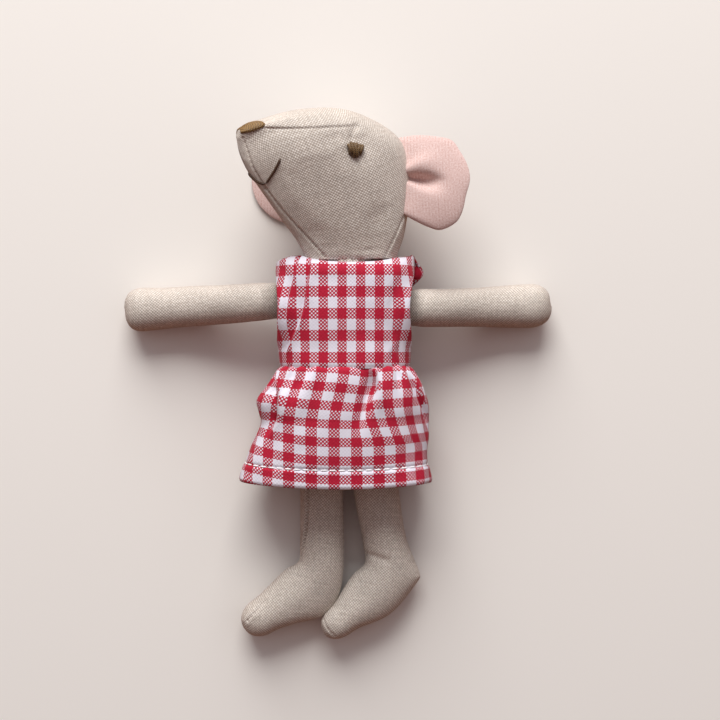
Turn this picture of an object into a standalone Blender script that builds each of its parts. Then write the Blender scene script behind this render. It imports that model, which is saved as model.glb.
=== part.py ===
"""Cloth mouse doll in a gingham dress, lying on its back with its head turned to its right.

Every stuffed piece is a canvas skin, open where it was turned and filled, around its own stuffing.
X runs to the doll's left, Y to the top of its head, Z out of its chest. The origin lies on the flat of the
dress's back, under the middle of the chest.
"""

import math

import bmesh
import bpy
from mathutils import Matrix, Vector

MM = 0.001
UP = Vector((0, 0, 1))
SIDES = {"left": 1, "right": -1}

# Cloth and clearances
CANVAS = 0.8 * MM
GINGHAM = 0.7 * MM
FLANNEL = 1.0 * MM
TAPE = 2.0 * MM
GAP = 0.35 * MM
FLAT_DEPTH = 0.5 * MM

# Torso
TORSO_LENGTH = 48.5 * MM
TORSO_TOP = 17.0 * MM
CHEST_HALF_WIDTH = 15.0 * MM
HIP_HALF_WIDTH = 19.4 * MM
TORSO_HALF_DEPTH = 11.6 * MM
HIP_SEAM_HEIGHT = 10.5 * MM
SEAM_HALF_DEPTH = 1.0 * MM
NECK_BLEND = 0.3
SEAM_BLEND = 0.55

# Neck and head
NECK_SHIFT = 2.0 * MM
NECK_RADIUS = 10.2 * MM
NECK_RISE = 4.3 * MM
NECK_HOLE = 9.5 * MM
NECK_TOP_ANGLE = math.radians(84)
HEAD_TURN = math.radians(60)
HEAD_RIM = 1.8 * MM
HEAD_BACK = 17.8 * MM
HEAD_HEIGHT = 46.2 * MM
HEAD_HALF_WIDTH = 16.7 * MM
SNOUT_REACH = 38.6 * MM
SNOUT_RISE = 0.758 * HEAD_HEIGHT
HEAD_TIP_ROOM = 0.03

# Outline of the head from the neck opening to the snout, as shares of its reach, rise and width
THROAT_SHARES = (
    (0.29, 0.0), (0.41, 0.149), (0.595, 0.36), (0.775, 0.589), (0.88, 0.743), (0.965, 0.88), (1.005, 1.0),
    (1.01, 1.08),
)
CROWN_SHARES = (
    (-0.71, 0.0), (-0.933, 0.206), (-1.02, 0.498), (-0.82, 0.835), (0.04, 1.005), (0.47, 0.985), (0.82, 0.895),
    (0.94, 0.865),
)
WIDTH_SHARES = ((0.88, 0), (0.96, 0), (1.0, 0), (0.94, 0), (0.68, 0), (0.46, 0), (0.28, 0), (0.12, 0))

# Face
EYE_RADIUS = 2.5 * MM
EYE_HEIGHT = 1.3 * MM
EYE_FORWARD = 6.6 * MM
EYE_RISE = 0.717 * HEAD_HEIGHT
NOSE_THICKNESS = 1.1 * MM
NOSE_SEAT = 0.6 * MM
NOSE_SHARE = 0.905
NOSE_HALF_SHARE = 0.085
NOSE_HALF_ANGLE = math.radians(112)
DOME_EDGE = 0.12
MOUTH_THREAD = 0.8 * MM
MOUTH_LIFT = 7.6 * MM
MOUTH_SETBACK = 1.2 * MM
MOUTH_SHARE = 0.46

# Ears
EAR_LENGTH = {"left": 22.6 * MM, "right": 24.0 * MM}
EAR_RADIUS = 14.6 * MM
EAR_EDGE = 0.4 * MM
EAR_EDGE_START = 0.7
EAR_CUP = 3.4 * MM
EAR_RISE = {"left": 0.48 * HEAD_HEIGHT, "right": 0.56 * HEAD_HEIGHT}
LEFT_EAR_BEHIND = 10.0 * MM
RIGHT_EAR_BEHIND = 1.5 * MM
LEFT_EAR_LIFT = math.radians(10)
EAR_SEAT_STEP_COUNT = 40
EAR_SEAT_POINT_COUNT = 6

# Arms
ARM_RISE = 7.0 * MM
ARM_LENGTH = {"left": 50.8 * MM, "right": 54.3 * MM}
ARM_HALF_WIDTH = 7.5 * MM
ARM_HALF_DEPTH = 7.2 * MM
ARM_ROOT_RADIUS = 6.8 * MM
ARM_TAPER = 11.0 * MM
HAND_ROUND = 9.0 * MM
HAND_SQUARENESS = 2.6
ARM_DROP_SHARE = 0.8
SHOULDER_TAPE = 2.4 * MM

# Legs
HIP_TAPE = 4.4 * MM
HIP_TAPE_HALF_WIDTH = 13.5 * MM
LEG_SPREAD = {"left": 7.8 * MM, "right": -7.1 * MM}
LEG_LEAN = {"left": math.radians(-10), "right": math.radians(0)}
LEG_LENGTH = 38.0 * MM
ANKLE_BEND = 14.0 * MM
FOOT_TURN = {"left": math.radians(60), "right": math.radians(57)}
FOOT_LENGTH = {"left": 20.6 * MM, "right": 23.6 * MM}
LEG_HALF_WIDTH = 7.3 * MM
HEEL_HALF_WIDTH = 9.0 * MM
FOOT_HALF_WIDTH = {"left": 5.8 * MM, "right": 7.0 * MM}
LEG_HALF_DEPTH = 6.7 * MM
LEG_ROOT_RADIUS = 1.2 * MM
LEG_ROOT_HALF_WIDTH = 5.6 * MM
LEG_TAPER = 13.0 * MM
TOE_ROUND = 7.5 * MM
TOE_SQUARENESS = 2.2
LEG_ROOT_EDGE = 0.06

# Dress
DRESS_SHIFT = 0.6 * MM
DRESS_HEIGHT = 30.0 * MM
WAIST_HALF_WIDTH = 20.8 * MM
BODICE_FLARE = 1.6 * MM
WAIST = -12.5 * MM
SHOULDER_RISE = 8.0 * MM
NECKLINE_DIP = 4.4 * MM
NECKLINE_HALF_WIDTH = 13.8 * MM
STRAP_SLOPE = 4.2 * MM
ARMHOLE_HALF_LENGTH = 12.8 * MM
ARMHOLE_HALF_HEIGHT = 11.0 * MM
SHOULDER_SEAM = 1.5 * MM
CLOSING_LENGTH = 8.0 * MM
SHOULDER_SQUARENESS = 2.2
PLACKET_OVERLAP = 5.0 * MM
PLACKET_BLEND = 7.0 * MM
STUD_RADIUS = 2.6 * MM
STUD_BALL = 0.75 * MM
STUD_SOCKET = 0.55 * MM
STUD_RISES = {"upper": 14.0 * MM, "lower": -5.0 * MM}
SKIRT_LENGTH = 36.4 * MM
HEM_LEFT_FLARE = 7.2 * MM
HEM_RIGHT_FLARE = 12.2 * MM
HEM_DROP = 0.8 * MM
SKIRT_PUFF = 2.6 * MM
FOLD_DEPTH = 1.3 * MM
FOLD_COUNT = 9
DRESS_SQUARENESS = 3.2

# How finely the forms are drawn
RING_POINT_COUNT = 16
HEAD_STATION_COUNT = 14
NECK_STATION_COUNT = 9
TORSO_STATION_COUNT = 10
ARM_STATION_COUNT = 11
LEG_STATION_COUNT = 15
EAR_POINT_COUNT = 18
EAR_SHARES = (0.15, 0.65, 1.0)
FILLING_START = 3
FORM_SQUARENESS = 2.25
END_CROWDING = 0.6
END_ROUNDING = 0.03
LEAST_HALF_AXIS = 0.2 * MM
EYE_POINT_COUNT = 12
NOSE_POINT_COUNT = 14
DISC_SHARES = (0.1, 0.55, 1.0)
MOUTH_SHARES = (0.25, 0.5, 0.75, 1.0)
STUD_POINT_COUNT = 18
BODICE_FRONT_GRID = (16, 10)
BODICE_RIGHT_GRID = (11, 9)
BODICE_LEFT_GRID = (13, 9)
SKIRT_GRID = (54, 6)
TAPE_ROUNDING = 0.45
SMOOTH_ANGLE = math.radians(50)

# Half width and half depth of the torso, evenly spaced from the neck hole to the bottom seam
TORSO_HALF_SIZES = (
    (NECK_HOLE, 0.7 * TORSO_HALF_DEPTH),
    (0.88 * CHEST_HALF_WIDTH, 0.88 * TORSO_HALF_DEPTH),
    (CHEST_HALF_WIDTH, 0.98 * TORSO_HALF_DEPTH),
    (1.01 * CHEST_HALF_WIDTH, TORSO_HALF_DEPTH),
    (0.95 * HIP_HALF_WIDTH, 0.98 * TORSO_HALF_DEPTH),
    (HIP_HALF_WIDTH, 0.8 * TORSO_HALF_DEPTH),
    (0.86 * HIP_HALF_WIDTH, SEAM_HALF_DEPTH),
)

# Derived places
PLACKET_LIFT = GINGHAM + STUD_BALL + STUD_SOCKET + 3 * GAP
TORSO_BACK = PLACKET_LIFT + GINGHAM + GAP
TORSO_MIDDLE = TORSO_BACK + TORSO_HALF_DEPTH
TORSO_BOTTOM = TORSO_TOP - TORSO_LENGTH
HIP_AXIS_Y = TORSO_BOTTOM - GAP - TAPE / 2
LEG_ROOT_Y = TORSO_BOTTOM - 2 * GAP - HIP_TAPE
LEG_AXIS_Y = LEG_ROOT_Y - LEG_ROOT_RADIUS
SWING_AXIS_X = CHEST_HALF_WIDTH + GAP + TAPE / 2
ARM_ROOT_X = CHEST_HALF_WIDTH + 2 * GAP + SHOULDER_TAPE
RAISE_AXIS_X = ARM_ROOT_X + ARM_ROOT_RADIUS
NECK_Y = TORSO_TOP + NECK_RISE
DRESS_MIDDLE = (DRESS_HEIGHT - FLAT_DEPTH) / 2
DRESS_HALF_HEIGHT = (DRESS_HEIGHT + FLAT_DEPTH) / 2
SHOULDER_TOP = TORSO_TOP + SHOULDER_RISE


def clear_scene():
    """Remove every object, so the script starts from nothing."""
    for item in list(bpy.data.objects):
        bpy.data.objects.remove(item, do_unlink=True)


def new_collection(name):
    """Return a new collection, linked to the scene."""
    collection = bpy.data.collections.new(name)
    bpy.context.scene.collection.children.link(collection)
    return collection


def finish(name, colour, roughness):
    """Return a Principled material of one colour (linear) and roughness."""
    material = bpy.data.materials.new(name)
    material.use_nodes = True
    shader = material.node_tree.nodes["Principled BSDF"]
    shader.inputs["Base Color"].default_value = (*colour, 1)
    shader.inputs["Roughness"].default_value = roughness
    return material


def ease(t):
    """Smooth step from 0 to 1."""
    t = min(max(t, 0.0), 1.0)
    return t * t * (3 - 2 * t)


def along(points, t):
    """Return the point at share t of a smooth curve through points."""
    spans = len(points) - 1
    k = min(int(t * spans), spans - 1)
    u = t * spans - k
    p1, p2 = Vector(points[k]), Vector(points[k + 1])
    p0 = Vector(points[k - 1]) if k else 2 * p1 - p2
    p3 = Vector(points[k + 2]) if k + 2 <= spans else 2 * p2 - p1
    return (
        p1
        + (p2 - p0) * (u / 2)
        + (2 * p0 - 5 * p1 + 4 * p2 - p3) * (u * u / 2)
        + (3 * p1 - p0 - 3 * p2 + p3) * (u * u * u / 2)
    )


def squared(angle, power):
    """Return the cosine and sine of a superellipse at an angle."""
    c, s = math.cos(angle), math.sin(angle)
    share = 2 / power
    return math.copysign(abs(c) ** share, c), math.copysign(abs(s) ** share, s)


def ring(centre, across, deep, points, floor=None, power=FORM_SQUARENESS):
    """Return the points of one section: a closed superellipse with half axes across and deep."""
    section = []
    for k in range(points):
        c, s = squared(2 * math.pi * k / points, power)
        point = centre + across * c + deep * s
        if floor is not None:
            point.z = max(point.z, floor)
        section.append(point)
    return section


def add_object(name, mesh, material, pivot=None, parent=None):
    """Add a mesh as a named sub-part whose origin is at pivot."""
    item = bpy.data.objects.new(name, mesh)
    mesh.materials.append(material)
    if pivot is not None:
        mesh.transform(Matrix.Translation(-pivot))
        item.location = pivot
    if parent is not None:
        item.parent = parent
    doll.objects.link(item)
    return item


def mesh_from(bm, name):
    """Turn a bmesh into a smooth-shaded mesh with its faces pointing out."""
    bmesh.ops.recalc_face_normals(bm, faces=bm.faces)
    mesh = bpy.data.meshes.new(name)
    bm.to_mesh(mesh)
    bm.free()
    mesh.shade_smooth()
    mesh.set_sharp_from_angle(angle=SMOOTH_ANGLE)
    return mesh


def loft(name, rings):
    """Return a closed mesh through rings of equal point counts, capped at both ends."""
    bm = bmesh.new()
    loops = [[bm.verts.new(point) for point in section] for section in rings]
    count = len(loops[0])
    for a, b in zip(loops, loops[1:]):
        for k in range(count):
            m = (k + 1) % count
            bm.faces.new((a[k], a[m], b[m], b[k]))
    bm.faces.new(loops[0])
    bm.faces.new(loops[-1])
    return mesh_from(bm, name)


def sheet(name, place, grid, thickness, material, closed=False):
    """Add a cloth panel: a grid set out by place(u, v), thickened inwards. A closed one joins u=1 to u=0."""
    bm = bmesh.new()
    bmesh.ops.create_grid(bm, x_segments=grid[0], y_segments=grid[1], size=0.5)
    for vert in bm.verts:
        vert.co = place(vert.co.x + 0.5, vert.co.y + 0.5)
    if closed:
        bmesh.ops.remove_doubles(bm, verts=bm.verts, dist=0.01 * MM)
    mesh = bpy.data.meshes.new(name)
    bm.to_mesh(mesh)
    bm.free()
    mesh.shade_smooth()
    item = add_object(name, mesh, material)
    solid = item.modifiers.new("Thickness", "SOLIDIFY")
    solid.thickness = thickness
    solid.offset = -1


class Stuffed:
    """A stuffed form: sections spread along its length, from the open end to the closed one."""

    def __init__(self, section, length, stations, room, resting=False):
        """section(t, inset) gives the centre and the two half axes at t; room is left inside the closed end."""
        self.section = section
        self.length = length
        self.stations = stations
        self.room = room
        self.resting = resting

    def rings(self, inset, room=0.0):
        """Return the sections of the form drawn in by inset, closest together at its two ends."""
        floor = inset if self.resting else None
        found = []
        for k in range(self.stations):
            even = k / (self.stations - 1)
            crowded = 0.5 - 0.5 * math.cos(math.pi * even)
            share = END_CROWDING * crowded + (1 - END_CROWDING) * even
            centre, across, deep = self.section((self.length - room) * share, inset)
            found.append(ring(centre, across, deep, RING_POINT_COUNT, floor))
        return found

    def skin(self, name):
        """Return the canvas shell, open at its first section."""
        return loft(name, self.rings(0.0)[::-1] + self.rings(CANVAS, self.room))

    def filling(self, name, start):
        """Return the stuffing, a gap inside the skin, from section number start on."""
        return loft(name, self.rings(CANVAS + GAP, self.room)[start:-1])


def shrunk(vector, inset):
    """Return a half axis made shorter by inset."""
    length = vector.length
    return vector * (max(length - inset, LEAST_HALF_AXIS) / length)


def torso_section(t, inset):
    """Section of the torso at t metres below its neck opening."""
    share = t / TORSO_LENGTH
    width, depth = along(TORSO_HALF_SIZES, share)[:2]
    towards_neck = 1 - ease(share / NECK_BLEND)
    towards_seam = ease((share - SEAM_BLEND) / (1 - SEAM_BLEND))
    height = TORSO_MIDDLE + (HIP_SEAM_HEIGHT - TORSO_MIDDLE) * towards_seam
    centre = Vector((NECK_SHIFT * towards_neck, TORSO_TOP - t, height))
    return centre, Vector((max(width - inset, 0), 0, 0)), shrunk(UP * depth, inset)


torso_form = Stuffed(torso_section, TORSO_LENGTH, TORSO_STATION_COUNT, 4 * CANVAS)


def arm_form(side):
    """Return the stuffed form of one arm, from the hand's end to the shoulder tape."""
    way = SIDES[side]
    length = ARM_LENGTH[side]

    def section(t, inset):
        nose = min(t / ARM_ROOT_RADIUS, 1)
        width = ARM_ROOT_RADIUS * math.sqrt(max(1 - (1 - nose) ** 2, END_ROUNDING))
        width += (ARM_HALF_WIDTH - ARM_ROOT_RADIUS) * ease((t - ARM_ROOT_RADIUS) / ARM_TAPER)
        depth = SEAM_HALF_DEPTH + (ARM_HALF_DEPTH - SEAM_HALF_DEPTH) * ease(t / ARM_TAPER)
        tip = max(t - (length - HAND_ROUND), 0) / HAND_ROUND
        rounding = math.sqrt(max(1 - tip ** HAND_SQUARENESS, END_ROUNDING))
        height = TORSO_MIDDLE + (ARM_HALF_DEPTH - FLAT_DEPTH - TORSO_MIDDLE) * ease(t / (ARM_DROP_SHARE * length))
        centre = Vector((way * (ARM_ROOT_X + t), ARM_RISE, height))
        return centre, shrunk(Vector((0, width * rounding, 0)), inset), shrunk(UP * depth * rounding, inset)

    return Stuffed(section, length, ARM_STATION_COUNT, 2 * CANVAS, resting=True)


def leg_form(side):
    """Return the stuffed form of one leg: a straight shin, a bend at the ankle, then the foot."""
    lean = LEG_LEAN[side]
    turn = FOOT_TURN[side]
    bend_length = ANKLE_BEND * turn
    length = LEG_LENGTH + bend_length + FOOT_LENGTH[side]
    root = Vector((LEG_SPREAD[side], LEG_ROOT_Y, 0))

    def heading(angle):
        return Vector((-math.sin(angle), -math.cos(angle), 0))

    def section(t, inset):
        angle = lean + min(max((t - LEG_LENGTH) / ANKLE_BEND, 0), turn)
        centre = root + heading(lean) * min(t, LEG_LENGTH)
        if t > LEG_LENGTH:
            centre += ANKLE_BEND * (Vector((-math.cos(lean), math.sin(lean), 0))
                                    - Vector((-math.cos(angle), math.sin(angle), 0)))
        centre += heading(angle) * max(t - LEG_LENGTH - bend_length, 0)
        widen = ease(t / LEG_TAPER)
        width = LEG_ROOT_HALF_WIDTH + (LEG_HALF_WIDTH - LEG_ROOT_HALF_WIDTH) * widen
        width += (HEEL_HALF_WIDTH - LEG_HALF_WIDTH) * ease((t - LEG_LENGTH) / bend_length)
        past_heel = ease((t - LEG_LENGTH - bend_length) / (FOOT_LENGTH[side] - TOE_ROUND))
        width += (FOOT_HALF_WIDTH[side] - HEEL_HALF_WIDTH) * past_heel
        nose = min(t / LEG_ROOT_RADIUS, 1)
        depth = LEG_ROOT_RADIUS * math.sqrt(max(1 - (1 - nose) ** 2, LEG_ROOT_EDGE))
        depth += (LEG_HALF_DEPTH - LEG_ROOT_RADIUS) * ease((t - LEG_ROOT_RADIUS) / LEG_TAPER)
        toe = max(t - (length - TOE_ROUND), 0) / TOE_ROUND
        rounding = math.sqrt(max(1 - toe ** TOE_SQUARENESS, END_ROUNDING))
        resting = LEG_HALF_DEPTH - FLAT_DEPTH
        centre.z = HIP_SEAM_HEIGHT + (resting - HIP_SEAM_HEIGHT) * ease(t / LEG_LENGTH)
        square = angle * widen
        across = Vector((math.cos(square), -math.sin(square), 0)) * width * rounding
        return centre, shrunk(across, inset), shrunk(UP * depth * rounding, inset)

    return Stuffed(section, length, LEG_STATION_COUNT, 2 * CANVAS, resting=True)


def head_outlines(t):
    """Return the throat point, the crown point and the half width at share t, in the head's own frame."""
    forward, rise = along(THROAT_SHARES, t)[:2]
    low = Vector((0, HEAD_RIM + rise * SNOUT_RISE, forward * SNOUT_REACH))
    forward, rise = along(CROWN_SHARES, t)[:2]
    reach = HEAD_BACK if forward < 0 else SNOUT_REACH
    high = Vector((0, HEAD_RIM + rise * HEAD_HEIGHT, forward * reach))
    return low, high, along(WIDTH_SHARES, t)[0] * HEAD_HALF_WIDTH


def head_section(t, inset):
    """Section of the head at share t from the neck opening to the tip of the snout."""
    low, high, width = head_outlines(t)
    centre = (low + high) / 2
    return centre, shrunk((high - low) / 2, inset), shrunk(Vector((width, 0, 0)), inset)


head_form = Stuffed(head_section, 1.0, HEAD_STATION_COUNT, HEAD_TIP_ROOM)


def head_surface(forward, rise, side, lift=0.0):
    """Return the point of the head's surface seen at (forward, rise) from one side, raised by lift."""
    target = Vector((0, HEAD_RIM + rise, forward))
    below, above = 0.0, 1.0
    for _ in range(40):
        t = (below + above) / 2
        low, high, width = head_outlines(t)
        if (high - low).cross(target - low).x > 0:
            below = t
        else:
            above = t
    share = 2 * (target - low).dot(high - low) / (high - low).length_squared - 1
    bulge = (1 - min(abs(share), 1) ** FORM_SQUARENESS) ** (1 / FORM_SQUARENESS)
    return Vector((side * (width * bulge + lift), target.y, target.z))


def head_normal(forward, rise, side):
    """Return the outward direction of the head's surface there."""
    step = 0.5 * MM
    ahead = head_surface(forward + step, rise, side) - head_surface(forward - step, rise, side)
    upward = head_surface(forward, rise + step, side) - head_surface(forward, rise - step, side)
    return (ahead.cross(upward) * -side).normalized()


def build_torso():
    """Torso skin, open at the neck, and its stuffing."""
    add_object("torso_skin", torso_form.skin("torso_skin"), canvas("torso_skin"))
    add_object("torso_stuffing", torso_form.filling("torso_stuffing", 0), filling("torso_stuffing"))


def build_neck():
    """A ball of stuffed canvas that stands on the torso and enters the head."""
    rings = []
    first = math.asin((TORSO_TOP + GAP - NECK_Y) / NECK_RADIUS)
    for k in range(NECK_STATION_COUNT):
        angle = first + (NECK_TOP_ANGLE - first) * k / (NECK_STATION_COUNT - 1)
        radius = NECK_RADIUS * math.cos(angle)
        middle = neck_pivot + Vector((0, NECK_RADIUS * math.sin(angle), 0))
        rings.append(ring(middle, Vector((radius, 0, 0)), UP * radius, RING_POINT_COUNT, power=2))
    add_object("neck", loft("neck", rings), canvas("neck"), neck_pivot)


def first_clear_of_neck():
    """Return the number of the head's first section that stays clear of the neck's ball."""
    for number, section in enumerate(head_form.rings(CANVAS + GAP, head_form.room)):
        middle = sum(section, Vector()) / len(section)
        facing = (section[0] - middle).cross(section[RING_POINT_COUNT // 4] - middle).normalized()
        if abs(facing.dot(middle)) > NECK_RADIUS + GAP:
            return number
    return HEAD_STATION_COUNT - 2


def build_head():
    """Head skin, open at the neck, its stuffing and the stitched face, under one turned empty."""
    frame = bpy.data.objects.new("head_turn", None)
    frame.location = neck_pivot
    frame.rotation_euler = (0, -HEAD_TURN, 0)
    doll.objects.link(frame)
    add_object("head_skin", head_form.skin("head_skin"), canvas("head_skin"), parent=frame)
    stuffing = head_form.filling("head_stuffing", first_clear_of_neck())
    add_object("head_stuffing", stuffing, filling("head_stuffing"), parent=frame)
    for side, way in SIDES.items():
        build_eye(side + "_eye", way, frame)
    build_nose(frame)
    build_mouth(frame)
    return frame


def build_eye(name, way, frame):
    """A knot of dark thread, a low dome on the side of the head."""
    bm = bmesh.new()
    bmesh.ops.create_uvsphere(bm, u_segments=EYE_POINT_COUNT, v_segments=8, radius=EYE_RADIUS)
    cut = bmesh.ops.bisect_plane(bm, geom=bm.verts[:] + bm.edges[:] + bm.faces[:], plane_co=(0, 0, 0),
                                 plane_no=(0, 0, -1), clear_outer=True)
    rim = [edge for edge in cut["geom_cut"] if isinstance(edge, bmesh.types.BMEdge)]
    bmesh.ops.contextual_create(bm, geom=rim)
    bmesh.ops.scale(bm, vec=(1, 1, EYE_HEIGHT / EYE_RADIUS), verts=bm.verts)
    outward = head_normal(EYE_FORWARD, EYE_RISE, way)
    seat = head_surface(EYE_FORWARD, EYE_RISE, way) + outward * GAP
    turn = outward.to_track_quat("Z", "Y").to_matrix().to_4x4()
    bmesh.ops.transform(bm, matrix=Matrix.Translation(seat) @ turn, verts=bm.verts)
    add_object(name, mesh_from(bm, name), thread(name), parent=frame)


def padded_disc(height):
    """Return (a, b, lift) rings of a unit disc, flat below and domed to a height above."""
    sections = []
    for top, order in ((False, DISC_SHARES), (True, DISC_SHARES[::-1])):
        for share in order:
            lift = height * math.sqrt(max(1 - share * share, DOME_EDGE)) if top else 0.0
            turns = (2 * math.pi * k / NOSE_POINT_COUNT for k in range(NOSE_POINT_COUNT))
            sections.append([(share * math.cos(turn), share * math.sin(turn), lift) for turn in turns])
    return sections


def build_nose(frame):
    """A satin-stitched pad over the top of the snout's tip."""

    def place(a, b, lift):
        low, high, width = head_outlines(NOSE_SHARE + NOSE_HALF_SHARE * a)
        c, s = squared(NOSE_HALF_ANGLE * b, FORM_SQUARENESS)
        out = (high - low) / 2 * c + Vector((width * s, 0, 0))
        return (low + high) / 2 + out + out.normalized() * (NOSE_SEAT + lift)

    rings = [[place(*point) for point in section] for section in padded_disc(NOSE_THICKNESS)]
    add_object("nose", loft("nose", rings), thread("nose"), parent=frame)


def build_mouth(frame):
    """Two straight stitches that meet under the nose, as one thread."""
    lift = GAP + MOUTH_THREAD
    low, high, _ = head_outlines(MOUTH_SHARE)
    corner_forward, corner_rise = low.z, low.y - HEAD_RIM
    points = []
    for way, shares in ((1, MOUTH_SHARES[::-1]), (-1, MOUTH_SHARES)):
        for share in shares:
            forward = corner_forward - MOUTH_SETBACK * share
            rise = corner_rise + MOUTH_LIFT * share
            points.append(head_surface(forward, rise, way) + head_normal(forward, rise, way) * lift)
    middle = low + (low - high).normalized() * lift
    points.insert(len(MOUTH_SHARES), middle)
    curve = bpy.data.curves.new("mouth", "CURVE")
    curve.dimensions = "3D"
    curve.bevel_depth = MOUTH_THREAD / 2
    curve.bevel_resolution = 1
    curve.use_fill_caps = True
    spline = curve.splines.new("POLY")
    spline.points.add(len(points) - 1)
    for knot, point in zip(spline.points, points):
        knot.co = (*point, 1)
    curve.materials.append(thread("mouth"))
    item = bpy.data.objects.new("mouth", curve)
    item.parent = frame
    doll.objects.link(item)


def ear_layer(front, cup, length):
    """Return one layer of an ear, a disc cut straight at its base, along +X from there, its front side up."""
    middle = (GAP + FLANNEL) / 2 if front else -(GAP + FLANNEL) / 2
    sections = []
    for top, order in ((True, EAR_SHARES), (False, EAR_SHARES[::-1])):
        for share in order:
            edge = ease((share - EAR_EDGE_START) / (1 - EAR_EDGE_START))
            thickness = FLANNEL + (EAR_EDGE - FLANNEL) * edge
            height = middle + (thickness / 2 if top else -thickness / 2)
            section = []
            for k in range(EAR_POINT_COUNT):
                angle = 2 * math.pi * k / EAR_POINT_COUNT
                x = max(length - EAR_RADIUS * (1 - share * math.cos(angle)), 0)
                y = EAR_RADIUS * share * math.sin(angle)
                section.append(Vector((x, y, height + cup * (y / EAR_RADIUS) ** 2)))
            sections.append(section)
    return sections


def clear_of_head(base, axes, length):
    """Return the base moved out along the ear until its straight edge stays a gap clear of the head."""
    reach = math.sqrt(EAR_RADIUS ** 2 - (length - EAR_RADIUS) ** 2)
    moved = base.copy()
    for _ in range(EAR_SEAT_STEP_COUNT):
        corners = []
        for k in range(-EAR_SEAT_POINT_COUNT, EAR_SEAT_POINT_COUNT + 1):
            y = reach * k / EAR_SEAT_POINT_COUNT
            for layer in (-1, 1):
                height = layer * (FLANNEL + GAP / 2) + EAR_CUP * (y / EAR_RADIUS) ** 2
                corners.append(moved + axes @ Vector((0, y, height)))
        if all(p.x - head_surface(p.z, p.y - HEAD_RIM, 1).x > GAP for p in corners):
            break
        moved += axes @ Vector((GAP / 2, 0, 0))
    return moved


def left_ear_place():
    """Return where the left ear is sewn on, in the head's frame: along the side of the head, spread outwards."""
    base = head_surface(-LEFT_EAR_BEHIND, EAR_RISE["left"], 1)
    above = head_surface(-LEFT_EAR_BEHIND, EAR_RISE["left"] + GAP, 1)
    along_base = (above - base).normalized()
    spread = Matrix.Rotation(HEAD_TURN - LEFT_EAR_LIFT, 3, "Y") @ Vector((1, 0, 0))
    outward = (spread - along_base * spread.dot(along_base)).normalized()
    axes = Matrix((outward, along_base, outward.cross(along_base))).transposed()
    return Matrix.Translation(clear_of_head(base, axes, EAR_LENGTH["left"])) @ axes.to_4x4()


def ear_places():
    """Return the frame of each ear, at its base: the left one spread, the right one folded flat under the head."""
    turned = Matrix.Translation(neck_pivot) @ Matrix.Rotation(-HEAD_TURN, 4, "Y")
    right_base = turned @ head_surface(-RIGHT_EAR_BEHIND, EAR_RISE["right"], -1)
    right_base.z = FLANNEL + GAP / 2
    right = Matrix.Translation(right_base) @ Matrix.Rotation(math.pi, 4, "Z")
    return {"left": turned @ left_ear_place(), "right": right}


def build_ears():
    """Two flannel layers to each ear, sewn to the head at their straight edge."""
    places = ear_places()
    for side, cup in (("left", EAR_CUP), ("right", 0.0)):
        for layer in ("front", "back"):
            name = side + "_ear_" + layer
            mesh = loft(name, ear_layer(layer == "front", cup, EAR_LENGTH[side]))
            item = add_object(name, mesh, flannel(name))
            item.matrix_world = places[side]


def build_arms():
    """Each arm: a tape sewn into the torso's side, then a skin with its stuffing."""
    for side, way in SIDES.items():
        form = arm_form(side)
        raise_pivot = Vector((way * RAISE_AXIS_X, ARM_RISE, TORSO_MIDDLE))
        swing_pivot = Vector((way * SWING_AXIS_X, ARM_RISE, TORSO_MIDDLE))
        name = side + "_arm_skin"
        add_object(name, form.skin(name), canvas(name), raise_pivot)
        name = side + "_arm_stuffing"
        add_object(name, form.filling(name, FILLING_START), filling(name), raise_pivot)
        name = side + "_shoulder_tape"
        middle = swing_pivot + Vector((way * (SHOULDER_TAPE - TAPE) / 2, 0, 0))
        add_tape(name, middle, (SHOULDER_TAPE, 2 * ARM_ROOT_RADIUS, TAPE), swing_pivot)


def add_tape(name, middle, size, pivot):
    """Add a flat folded tape with rounded edges."""
    bm = bmesh.new()
    bmesh.ops.create_cube(bm, size=1)
    bmesh.ops.scale(bm, vec=size, verts=bm.verts)
    bmesh.ops.translate(bm, vec=middle, verts=bm.verts)
    item = add_object(name, mesh_from(bm, name), canvas(name), pivot)
    bevel = item.modifiers.new("Rounding", "BEVEL")
    bevel.width = TAPE_ROUNDING * min(size)
    bevel.segments = 2


def build_legs():
    """The tape along the torso's bottom seam, then the two legs, each a skin with its stuffing."""
    hip_pivot = Vector((0, HIP_AXIS_Y, HIP_SEAM_HEIGHT))
    middle = Vector((0, TORSO_BOTTOM - GAP - HIP_TAPE / 2, HIP_SEAM_HEIGHT))
    add_tape("hip_tape", middle, (2 * HIP_TAPE_HALF_WIDTH, HIP_TAPE, TAPE), hip_pivot)
    for side in SIDES:
        form = leg_form(side)
        pivot = Vector((LEG_SPREAD[side], LEG_AXIS_Y, HIP_SEAM_HEIGHT))
        name = side + "_leg_skin"
        add_object(name, form.skin(name), canvas(name), pivot)
        name = side + "_leg_stuffing"
        add_object(name, form.filling(name, FILLING_START), filling(name), pivot)


def dress_section(angle, width, height, middle):
    """Return (x, z) of the dress's section: a squared oval, flat where it lies on the floor."""
    c, s = squared(angle, DRESS_SQUARENESS)
    return DRESS_SHIFT + width * c, max(middle + height * s, 0.0)


def closing(y):
    """Return how far the bodice has closed over the shoulder at y, from 0 to 1."""
    return min(max(1 - (SHOULDER_TOP - y) / CLOSING_LENGTH, 0), 1)


def bodice_height(y):
    """Return half the bodice's thickness at y: full at the chest, closing over the shoulders."""
    rounded = (1 - closing(y) ** SHOULDER_SQUARENESS) ** (1 / SHOULDER_SQUARENESS)
    return max(DRESS_HALF_HEIGHT * rounded, SHOULDER_SEAM)


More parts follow.
